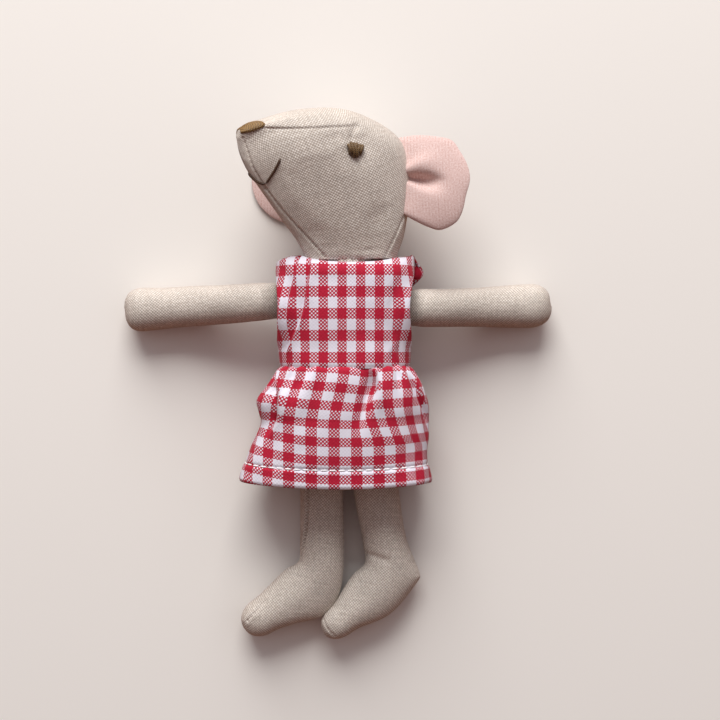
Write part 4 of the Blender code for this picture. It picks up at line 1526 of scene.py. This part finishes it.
@dataclass
class Leg:
    """A stuffed canvas leg: a straight shin, a bend at the ankle and a foot that narrows to the toe."""

    side: Side
    spread: float
    lean: float
    foot_turn: float
    foot_length: float
    toe_half_width: float
    heel_corner: float
    heel_place: float
    heel_length: float
    # 1 for a pointed heel, 2 for a round one.
    heel_roundness: float
    seams: tuple[Line, ...]
    toe_seam: Line
    creases: tuple[Line, ...]
    lumps: Lumps
    root_y: float = -36.6 * MM
    root_height: float = 10.5 * MM
    shin: float = 38.0 * MM
    bend: float = 14.0 * MM
    half_width: float = 7.3 * MM
    heel_half_width: float = 9.0 * MM
    root_half_width: float = 5.6 * MM
    root_half_depth: float = 1.2 * MM
    half_depth: float = 6.7 * MM
    flat: float = 0.5 * MM
    taper: float = 13.0 * MM
    toe_round: float = 7.5 * MM
    toe_squareness: float = 2.2
    thread_turn: float = math.radians(6)
    fullness: float = 0.07
    seam_points: int = 40
    seam_depth: float = 1.1 * MM
    toe_seam_depth: float = 0.35 * MM
    seam_width: float = 0.5 * MM
    stitch: float = 1.9 * MM
    crease_points: int = 20
    crease_depth: float = 0.6 * MM
    crease_width: float = 1.1 * MM
    grid: tuple[int, int] = (190, 160)

    def form(self) -> tuple[Surface, Array]:
        """The bare stuffed form, and how far along the leg each row lies.

        Returns:
            Its surface, and one distance for each row.
        """
        rows, columns = self.grid
        bend_length = self.bend * self.foot_turn
        length = self.shin + bend_length + self.foot_length
        even = np.linspace(0, 1, rows)
        run = length * (0.6 * even + 0.4 * np.sin(even * math.pi / 2))
        angle = self.lean + np.clip((run - self.shin) / self.bend, 0, self.foot_turn)
        heading = np.stack([-np.sin(angle), -np.cos(angle), np.zeros(rows)], axis=-1)
        steps = np.diff(run, prepend=0.0)[:, None]
        centre = np.array((self.spread, self.root_y, 0)) + np.cumsum(heading * steps, axis=0)
        centre[:, 2] = ease(self.root_height, self.half_depth - self.flat, run / self.shin)
        width = ease(self.root_half_width, self.half_width, run / self.taper)
        width += (self.heel_half_width - self.half_width) * smooth((run - self.shin) / bend_length)
        past_heel = smooth((run - self.shin - bend_length) / (self.foot_length - self.toe_round))
        width += (self.toe_half_width - self.heel_half_width) * past_heel
        depth = ease(self.root_half_depth, self.half_depth, run / self.taper)
        toe = np.maximum(run - (length - self.toe_round), 0) / self.toe_round
        rounding = np.sqrt(np.maximum(1 - toe ** self.toe_squareness, 0.004))
        square = angle * smooth(run / self.taper)
        side = np.stack([np.cos(square), -np.sin(square), np.zeros(rows)], axis=-1)
        across = side * (width * rounding)[:, None]
        points = rings(centre, across, np.outer(depth * rounding, OUTWARD), columns, self.fullness)
        from_heel = np.abs(run - self.shin - self.heel_place * bend_length) / self.heel_length
        heel = self.heel_corner * np.exp(-from_heel ** self.heel_roundness)[:, None, None]
        outer = np.clip(np.cos(2 * math.pi * np.arange(columns) / columns - math.pi / 2), 0, 1) ** 3
        points = points + side[:, None] * heel * outer[None, :, None]
        skin = Surface(points, centre[:, None])
        # Each side of the leg is one flat panel, so its threads keep their direction round the ankle.
        surface_steps = np.diff(skin.cloth[..., 1].mean(axis=1), prepend=0.0)[:, None]
        spine = np.cumsum(heading[:, :2] * surface_steps, axis=0)
        skin.cloth = spine[:, None] - skin.cloth[..., :1] * side[:, None, :2]
        skin.turn_cloth(self.thread_turn)
        return skin, run

    def make(self, material: Material) -> Object:
        """Build the leg with its seams and creases.

        Args:
            material: its finish.

        Returns:
            The piece.
        """
        skin, run = self.form()
        skin.push(self.lumps.over(skin.shape, closed=True) * smooth(run / self.taper)[:, None])
        sewn = (*self.seams, self.toe_seam)
        STUFFING.fill(skin, [PHOTO.onto(line, skin, self.seam_points) for line in sewn])
        for line in self.seams:
            seam = PHOTO.onto(line, skin, self.seam_points)
            skin.groove(seam, self.seam_depth, self.seam_width, self.stitch)
        seam = PHOTO.onto(self.toe_seam, skin, self.crease_points)
        skin.groove(seam, self.toe_seam_depth, self.seam_width, self.stitch)
        for line in self.creases:
            skin.groove(PHOTO.onto(line, skin, self.crease_points), self.crease_depth, self.crease_width)
        skin.rest_on_floor()
        label = self.side.label + "_leg"
        item = build(label, [skin], material)
        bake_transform(item)
        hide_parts(label + "_skin", label + "_stuffing")
        return item


# Dress

@dataclass
class Dress:
    """What the bodice and the skirt share: a section that is a squared oval, flat on its back."""

    shift: float = 0.6 * MM
    middle: float = 14.75 * MM
    half_height: float = 15.25 * MM
    waist: float = -12.5 * MM
    waist_half_width: float = 20.8 * MM
    squareness: float = 3.2
    cloth: float = 0.6 * MM

    def section(self, angle: Array, width: Array, height: Array) -> tuple[Array, Array]:
        """Across and up at an angle round the dress."""
        c, s = squared(angle, self.squareness)
        return self.shift + width * c, np.maximum(self.middle + height * s, 0.0)

    def thicken(self, item: Object) -> None:
        """Give a cloth panel its thickness, inwards.

        Args:
            item: the panel.
        """
        solid = item.modifiers.new("thickness", "SOLIDIFY")
        solid.thickness = self.cloth
        solid.offset = -1

    @property
    def core(self) -> Array:
        """A point inside the dress."""
        return np.array((self.shift, self.waist, self.middle))


@dataclass
class Bodice(Dress):
    """The top of the dress: a front and two backs that lap over each other, closed by two press studs."""

    flare: float = 1.3 * MM
    shoulder_top: float = 25.0 * MM
    arm_rise: float = 7.0 * MM
    neckline_dip: float = 4.4 * MM
    neckline_half_width: float = 13.8 * MM
    neck_shift: float = 2.0 * MM
    strap_slope: float = 4.2 * MM
    armhole_half_length: float = 12.8 * MM
    armhole_half_height: float = 11.0 * MM
    closing_length: float = 8.0 * MM
    shoulder_seam: float = 1.5 * MM
    shoulder_squareness: float = 2.2
    gap: float = 0.175 * MM
    overlap: float = 5.0 * MM
    placket_lift: float = 3.05 * MM
    stud_radius: float = 2.6 * MM
    placket_blend: float = 7.0 * MM
    # The left back's armhole edge stands out beyond the front's strap.
    facing_reach: float = 3.6 * MM
    facing_middle: float = 18.3 * MM
    facing_half_length: float = 4.0 * MM
    facing_height: float = 14.5 * MM
    facing_share: float = 0.3
    seam_drop: float = 0.4 * MM
    # The front's upper edge, evenly spaced from the doll's right to its left.
    front_top: tuple[float, ...] = (22.4, 24.3, 23.2, 22.2, 22.0, 22.1, 22.6, 23.7, 24.4)
    # The front's edge over each arm: how far it stands out and up, and over what share and length.
    cap_reach: float = 1.8 * MM
    cap_rise: float = 1.8 * MM
    cap_share: float = 0.22
    cap_half_length: float = 11.0 * MM
    # How far the front turns in at the neckline and at the waist seam.
    neck_turn: float = 0.7 * MM
    waist_turn: float = 0.5 * MM
    waves: Lumps = Lumps(0.4 * MM, (5, 7), 51)
    crumples: Lumps = Lumps(0.12 * MM, (13, 17), 52)
    front_grid: tuple[int, int] = (150, 200)
    back_grid: tuple[int, int] = (90, 90)
    folds: tuple[Fold, ...] = (
        Pleat(((311, 259), (309, 277), (305, 300), (301, 318), (294, 333), (283, 357)),
              0.9 * MM, 0.55 * MM, 1.7 * MM, 0.85, 0.8 * MM),
        Pleat(((303, 253), (297, 265), (292, 283), (288, 305), (286, 330)),
              0.7 * MM, 0.5 * MM, 1.6 * MM, 0.7, 0.6 * MM),
        Fold(((404, 364), (400, 350), (402, 335)), 0.6 * MM, 1.2 * MM, 0.0, 0.3, 0.3 * MM),
        Fold(((396, 368), (393, 356), (396, 344)), 0.5 * MM, 0.9 * MM, 0.0, 0.3, 0.3 * MM),
    )

    def closing(self, y: Array) -> Array:
        """How far the bodice has closed over the shoulder at y, from 0 to 1."""
        return np.clip(1 - (self.shoulder_top - y) / self.closing_length, 0, 1)

    def height(self, y: Array) -> Array:
        """Half the bodice's depth at y."""
        rounded = (1 - self.closing(y) ** self.shoulder_squareness) ** (1 / self.shoulder_squareness)
        return np.maximum(self.half_height * rounded, self.shoulder_seam)

    def top(self, x: Array) -> Array:
        """The upper edge at x: a boat neck between two shoulders.

        Args:
            x: places across the dress.

        Returns:
            How far up the edge lies at each.
        """
        rise = (np.abs(x - self.neck_shift) - self.neckline_half_width) / self.strap_slope
        boat = self.shoulder_top - self.neckline_dip * (1 - smooth(rise))
        return np.minimum(boat, self.front_edge(x) - self.seam_drop)

    def front_edge(self, x: Array) -> Array:
        """The front's upper edge at x, as the photograph shows it."""
        half = self.waist_half_width + self.flare
        return curve(self.front_top, (x - self.shift + half) / (2 * half)) * MM

    def edge(self, y: Array) -> Array:
        """The angle at which a panel ends: at the side seam, or at the armhole.

        Args:
            y: places up the dress.

        Returns:
            One angle for each.
        """
        share = (y - self.arm_rise) / self.armhole_half_length
        opening = self.armhole_half_height * np.sqrt(np.maximum(1 - share ** 2, 0))
        opening = np.maximum(opening, self.gap + self.cloth * self.closing(y))
        return np.arcsin(np.clip(opening / self.height(y), 0, 1) ** (self.squareness / 2))

    def panel(self, grid: tuple[int, int], first: tuple[float, float], last: tuple[float, float],
              top: Callable[[Array], Array]) -> Surface:
        """One panel, from the waist up.

        Args:
            grid: rows and columns.
            first: the angle at its first column: a constant, and how many edge angles to add.
            last: the same at its last column.
            top: the height of its upper edge at x.

        Returns:
            Its surface.
        """
        v, u = np.meshgrid(np.linspace(0, 1, grid[0]), np.linspace(0, 1, grid[1]), indexing="ij")
        y = self.waist + (self.shoulder_top - self.waist) * v
        for _ in range(5):
            edge = self.edge(y)
            begin, end = (side[0] + side[1] * edge for side in (first, last))
            angle = begin + (end - begin) * u
            rise = (y - self.waist) / (self.arm_rise - self.waist)
            width = self.waist_half_width + self.flare * smooth(rise)
            x, z = self.section(angle, width, self.height(y))
            y = self.waist + (top(x) - self.waist) * v
        steps = np.hypot(np.diff(x, axis=1), np.diff(z, axis=1))
        across = np.pad(np.cumsum(steps, axis=1), ((0, 0), (1, 0)))
        middle = grid[1] // 2
        across += (x - across)[:, [middle]]
        cloth = np.stack([across, y], axis=-1)
        return Surface(np.stack([x, y, z], axis=-1), self.core, closed=False, cloth=cloth)

    def finish(self, name: str, surface: Surface, node: str, flat: tuple[float, float],
               material: Material) -> Object:
        """Args:
            name: the piece's name.
            surface: its cloth.
            node: the CAD solid that it replaces.
            flat: not used.
            material: its finish.

        Returns:
            The piece.
        """
        item = build(name, [surface], material)
        self.thicken(item)
        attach(item, "torso")
        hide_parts(node)
        return item

    def make(self, material: Material) -> None:
        """Build the front and the two backs.

        Args:
            material: the finish of the cloth.
        """
        front = self.panel(self.front_grid, (math.pi, -1), (0.0, 1), self.front_edge)
        v, u = (np.linspace(0, 1, count) for count in front.shape)
        by_arm = hump(front.points[..., 1] - self.arm_rise, self.cap_half_length)
        beside = smooth(1 - np.minimum(u, 1 - u) / self.cap_share)[None] * by_arm
        front.points[..., 0] += self.cap_reach * beside * np.sign(u - 0.5)[None]
        front.points[..., 2] += self.cap_rise * beside
        for fold in self.folds:
            fold.press(front)
        front.push(self.waves.over(front.shape) + self.crumples.over(front.shape))
        front.push(-self.neck_turn * hump(v - 1, 0.02)[:, None] - self.waist_turn * hump(v, 0.03)[:, None])
        self.finish("bodice_front_cloth", front, "bodice_front", (0.052, 0.042), material)
        over = math.asin((self.overlap / self.waist_half_width) ** (self.squareness / 2))
        right = self.panel(self.back_grid, (over - math.pi / 2, 0), (-math.pi, 1), self.top)
        self.finish("bodice_back_right_cloth", right, "bodice_back_right", (0.030, 0.042), material)
        left = self.panel(self.back_grid, (0.0, -1), (-math.pi / 2 - over, 0), self.top)
        x = left.points[..., 0]
        past_studs = (np.abs(x) - self.overlap - self.stud_radius) / self.placket_blend
        lift = self.placket_lift * (1 - smooth(past_studs))
        left.points[..., 2] = np.maximum(left.points[..., 2], lift)
        u = np.linspace(0, 1, left.shape[1])[None]
        beyond = hump(left.points[..., 1] - self.facing_middle, self.facing_half_length)
        left.points[..., 0] += self.facing_reach * beyond * smooth(1 - u / self.facing_share)
        level = beyond * smooth((0.4 - u) / 0.2)
        left.points[..., 2] += (self.facing_height - left.points[..., 2]) * level
        self.finish("bodice_back_left_cloth", left, "bodice_back_left", (0.030, 0.042), material)


@dataclass
class Skirt(Dress):
    """The gathered skirt, sewn to the bodice at the waist, with a top-stitched hem."""

    length: float = 36.4 * MM
    tuck: float = 1.2 * MM
    # How far each side stands out from the middle line in mm, evenly spaced from the waist to the hem.
    right_reach: tuple[float, ...] = (20.8, 22.4, 24.6, 27.6, 27.2, 26.6, 27.6, 29.2, 30.6, 31.9, 33.0)
    left_reach: tuple[float, ...] = (21.4, 24.6, 27.2, 28.3, 27.9, 28.8)
    hem_drop: float = 1.6 * MM
    gathers: int = 24
    gather_depth: float = 0.4 * MM
    # The puff below the waist: its height, how often it fits the length, and how far the seam pulls in.
    puff: float = 0.8 * MM
    puffs: float = 2.2
    pinch: float = 1.0 * MM
    hem_rise: float = 5.6 * MM
    hem_thickness: float = 0.2 * MM
    # The dent along the hem's stitches, the turn of its lower edge, and the width of both.
    hem_dent: float = 0.4 * MM
    hem_turn: float = 0.5 * MM
    hem_turn_width: float = 0.5 * MM
    stitch: float = 2.3 * MM
    stitch_gap: float = 0.5 * MM
    stitch_radius: float = 0.3 * MM
    stitch_lift: float = 0.12 * MM
    stitch_points: int = 9
    billows: Lumps = Lumps(1.0 * MM, (3, 16), 61)
    wrinkles: Lumps = Lumps(0.2 * MM, (10, 50), 62)
    # How far the cloth is drawn towards the left at the waist, and over what share of its length that fades.
    shear: float = 3.2 * MM
    shear_length: float = 0.5
    grid: tuple[int, int] = (120, 340)
    folds: tuple[Fold, ...] = (
        Fold(((372, 366), (371, 384), (365, 405), (358, 428), (355, 448)),
             2.7 * MM, 1.8 * MM, 7.05 * MM, 0.1, 0.6 * MM, 1.5 * MM, opening=9.0 * MM),
        Pleat(((276, 382), (278.5, 402), (277, 420), (264, 442)),
              2.3 * MM, 1.2 * MM, 1.5 * MM, 0.6, 0.5 * MM),
        Fold(((407, 374), (416, 390), (425, 408), (431, 430)), 1.3 * MM, 1.0 * MM, 1.2 * MM, 0.6, 0.5 * MM),
        Fold(((300, 368), (294, 392), (288, 415)), 0.7 * MM, 1.8 * MM, 0.0, 0.3, 0.4 * MM),
        Fold(((395, 368), (398, 385), (399, 410)), 0.7 * MM, 1.2 * MM, 0.0, 0.2, 0.4 * MM),
    )

    def form(self) -> Surface:
        """The skirt's cloth, from the waist down, closed at the middle of the back.

        Returns:
            Its surface.
        """
        rows, columns = self.grid
        down = np.linspace(0, 1, rows)[:, None]
        angle = 1.5 * math.pi - 2 * math.pi * np.arange(columns)[None] / columns
        left, right = curve(self.left_reach, down), curve(self.right_reach, down)
        reach = np.where(np.cos(angle) > 0, left, right) * MM
        gather = self.gather_depth * np.cos(self.gathers * angle) * hump(down - 0.08, 0.16)
        puff = self.puff * np.sin(math.pi * np.clip(down * self.puffs, 0, 1)) - self.pinch * hump(down, 0.025)
        x, z = self.section(angle, reach + gather + puff, self.half_height + gather + puff)
        sag = self.hem_drop * down * np.cos(math.pi * (x - self.shift) / (2 * reach))
        y = self.waist + self.tuck - (self.length + self.tuck) * down - sag
        points = np.stack([x, y, z], axis=-1)
        skin = Surface(points, points.mean(axis=1, keepdims=True), caps=(False, False))
        skin.cloth[..., 0] -= self.shear * (1 - smooth(down / self.shear_length))
        return skin

    def make(self, material: Material, thread: Material) -> None:
        """Build the skirt and the stitches round its hem.

        Args:
            material: the finish of the cloth.
            thread: the finish of the stitches.
        """
        skin = self.form()
        for fold in self.folds:
            fold.press(skin)
        down = np.linspace(0, 1, skin.shape[0])[:, None]
        billows = self.billows.over(skin.shape, closed=True) * smooth(down / 0.4)
        skin.push(billows + self.wrinkles.over(skin.shape, closed=True))
        below = np.linspace(self.length, 0, skin.shape[0])[:, None] * np.ones(skin.shape[1])
        dent = self.hem_dent * hump(below - self.hem_rise, self.hem_turn_width)
        turn = self.hem_turn * hump(below, self.hem_turn_width)
        skin.push(self.hem_thickness * smooth((self.hem_rise - below) / MM) - dent - turn)
        skin.rest_on_floor()
        item = build("skirt_cloth", [skin], material)
        self.thicken(item)
        stitches = build("hem_stitches", self.hem_stitches(skin), thread)
        for piece in (item, stitches):
            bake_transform(piece)
        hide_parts("skirt")

    def hem_stitches(self, skin: Surface) -> list[Surface]:
        """Straight stitches of white thread, end to end along the top of the hem.

        Args:
            skin: the skirt's cloth.

        Returns:
            One surface for each stitch.
        """
        row = round((skin.shape[0] - 1) * (1 - self.hem_rise / self.length))
        out = skin.crossing()[row] * skin.outwards()
        line = skin.points[row] + out * self.stitch_lift
        line[:, 2] = np.maximum(line[:, 2], self.stitch_radius)
        line = np.concatenate([line, line[:1]])
        run = np.pad(np.cumsum(np.linalg.norm(np.diff(line, axis=0), axis=1)), (1, 0))
        count = int(run[-1] / (self.stitch + self.stitch_gap))
        starts = np.arange(count) * run[-1] / count
        made = []
        for start in starts:
            places = start + np.linspace(0, self.stitch, self.stitch_points)
            path = np.stack([np.interp(places, run, line[:, k]) for k in range(3)], axis=-1)
            made.append(strand(path, self.stitch_radius, sides=6))
        return made


# Studio

@dataclass
class Studio:
    """A pale paper floor, one large soft light from the head's side, and a fill that fades to the feet."""

    floor_half: float = 6.0
    key_place: tuple[float, float, float] = (-0.12, 1.18, 0.70)
    key_size: float = 1.0
    key_power: float = 26.0
    fill: float = 0.48
    key_colour: str = "#fffdfa"
    near_fill: str = "#f4f6ff"
    far_fill: str = "#985f44"

    def make(self) -> None:
        """Add the floor, the light and the fill."""
        half = self.floor_half
        mesh = bpy.data.meshes.new("floor")
        corners = [(-half, -half, 0), (half, -half, 0), (half, half, 0), (-half, half, 0)]
        mesh.from_pydata(corners, [], [(0, 1, 2, 3)])
        mesh.materials.append(PaperFloor("studio_paper", 0.95).material())
        floor = bpy.data.objects.new("floor", mesh)
        bpy.context.scene.collection.objects.link(floor)
        data = bpy.data.lights.new("key", "AREA")
        data.size = self.key_size
        data.energy = self.key_power
        data.color = linear(self.key_colour)[:3]
        key = bpy.data.objects.new("key", data)
        key.location = self.key_place
        key.rotation_euler = (-Vector(self.key_place)).to_track_quat("-Z", "Y").to_euler()
        bpy.context.scene.collection.objects.link(key)
        world = bpy.data.worlds.new("fill")
        world.use_nodes = True
        tree = world.node_tree
        sight = add_node(tree, "TexCoord", {}, {})
        parts = add_node(tree, "SeparateXYZ", {}, {0: sight.outputs["Generated"]})
        share = add_node(tree, "MapRange", {}, {"Value": parts.outputs[1], "From Min": -0.7, "From Max": 0.7})
        colour = add_node(tree, "Mix", {"data_type": "RGBA"},
                          {0: share, 6: linear(self.far_fill), 7: linear(self.near_fill)})
        background = tree.nodes["Background"]
        tree.links.new(colour.outputs[2], background.inputs[0])
        background.inputs[1].default_value = self.fill
        bpy.context.scene.world = world
        bpy.context.scene.view_settings.view_transform = "Standard"


def left_ear() -> Ear:
    """The ear in view, its rim laid out from the photograph.

    Returns:
        The ear, not yet built.
    """
    origin = np.array((18.49, 45.33, 24.67)) * MM
    out = np.array((0.98383, 0.05827, 0.16934))
    up = np.array((-0.04544, 0.99586, -0.0787))
    rim: Line = ((401, 213), (414, 220), (427, 226), (440, 229), (455, 222), (462, 211), (466, 195),
                 (470, 179), (467, 164), (460, 151), (451, 139), (434, 135), (414, 134), (396, 137))
    normal = np.cross(out, up)
    flat = [PHOTO.on_plane(pixel, origin, normal) - origin for pixel in rim]
    outline = tuple((float(spot @ out), float(spot @ up)) for spot in flat)
    return Ear(Side.LEFT, tuple(origin), tuple(out), tuple(up), outline, cup=-1.6 * MM, crease=3.8 * MM,
               crease_rise=3.4 * MM, crease_fall=0.22)


def right_ear() -> Ear:
    """The ear folded flat under the head, a round that shows below the throat.

    Returns:
        The ear, not yet built.
    """
    radius, length = 14.6 * MM, 26.0 * MM
    widest = math.acos(1 - length / radius)
    turns = np.linspace(-widest, widest, 15)
    outline = tuple((length - radius * (1 - math.cos(turn)), radius * math.sin(turn)) for turn in turns)
    origin = (-4.75 * MM, 50.4 * MM, 1.3 * MM)
    return Ear(Side.RIGHT, origin, (-1.0, 0, 0), (0, -1.0, 0), outline, thickness=2.2 * MM)


def main() -> None:
    """Build the looks in order, piece by piece."""
    logging.basicConfig(level=logging.INFO, format="%(name)s: %(message)s")
    PHOTO.place_camera()
    Studio().make()
    canvas = Canvas("unbleached_canvas", 0.9).material()
    flannel = Flannel("brushed_flannel", 0.95).material()
    # Each thread's crest colour is its painted highlight, and its groove colour the painted shade between its
    # plies.
    brown = Thread("brown_embroidery_thread", 0.5).material()
    dark = Thread("dark_brown_embroidery_thread", 0.5, lit_crest="#5c3b1d", groove="#28140a").material()
    olive = Thread("olive_embroidery_thread", 0.5, lit_crest="#9c7a46", groove="#5d421f", ply=0.9 * MM).material()
    white = Thread("white_sewing_thread", 0.6, lit_crest="#ffffff", groove="#e8e4ea", ply=0.5 * MM).material()
    bodice_check = Gingham("gingham_lengthwise", 0.85, origin=(5.75 * MM, 4.86 * MM)).material()
    skirt_check = Gingham("gingham_crosswise", 0.85, repeat=(7.1 * MM, 5.88 * MM),
                          origin=(-3.2 * MM, 18.95 * MM)).material()
    nickel = NickelPlate("nickel_plate", 0.3).material()
    head = Head()
    head.make(canvas)
    face = Face(head)
    face.make_nose(olive)
    face.make_mouth(dark)
    face.make_eyes(brown)
    left_ear().make(flannel)
    right_ear().make(flannel)
    Neck().make(canvas)
    Torso().make(canvas)
    Arm(Side.LEFT, length=50.8 * MM, root_rise=7.1 * MM, hand_rise=8.3 * MM,
        lumps=Lumps(0.28 * MM, (9, 7), 31)).make(canvas)
    Arm(Side.RIGHT, length=54.3 * MM, root_rise=9.6 * MM, hand_rise=6.7 * MM,
        lumps=Lumps(0.28 * MM, (9, 7), 32)).make(canvas)
    Leg(Side.LEFT, spread=7.8 * MM, lean=math.radians(-10), foot_turn=math.radians(60), foot_length=20.6 * MM,
        toe_half_width=5.6 * MM, heel_corner=3.9 * MM, heel_place=0.36, heel_length=3.7 * MM,
        heel_roundness=1.3, seams=(), toe_seam=((322, 617), (327, 628), (334, 636)),
        creases=(((359, 553), (372, 556), (387, 561)),), lumps=Lumps(0.25 * MM, (12, 7), 41)).make(canvas)
    Leg(Side.RIGHT, spread=-7.1 * MM, lean=0.0, foot_turn=math.radians(57), foot_length=23.0 * MM,
        toe_half_width=6.2 * MM, heel_corner=2.0 * MM, heel_place=0.85, heel_length=6.5 * MM,
        heel_roundness=2.0, seams=(((308, 480), (307, 510), (305, 535), (300, 556)),),
        toe_seam=((266, 600), (256, 611), (247, 621)), creases=(),
        lumps=Lumps(0.25 * MM, (12, 7), 42)).make(canvas)
    Tape("left_shoulder_tape", "left_shoulder").make(canvas)
    Tape("right_shoulder_tape", "right_shoulder").make(canvas)
    Tape("hip_tape", "hips", run=(1.0, 0.0, 0.0)).make(canvas)
    Bodice().make(bodice_check)
    Skirt().make(skirt_check, white)
    for name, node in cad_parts.items():
        if name.startswith("press_stud"):
            node.data.materials.clear()
            node.data.materials.append(nickel)
            LOG.info("%s: nickel plate", name)


if __name__ == "__main__":
    main()
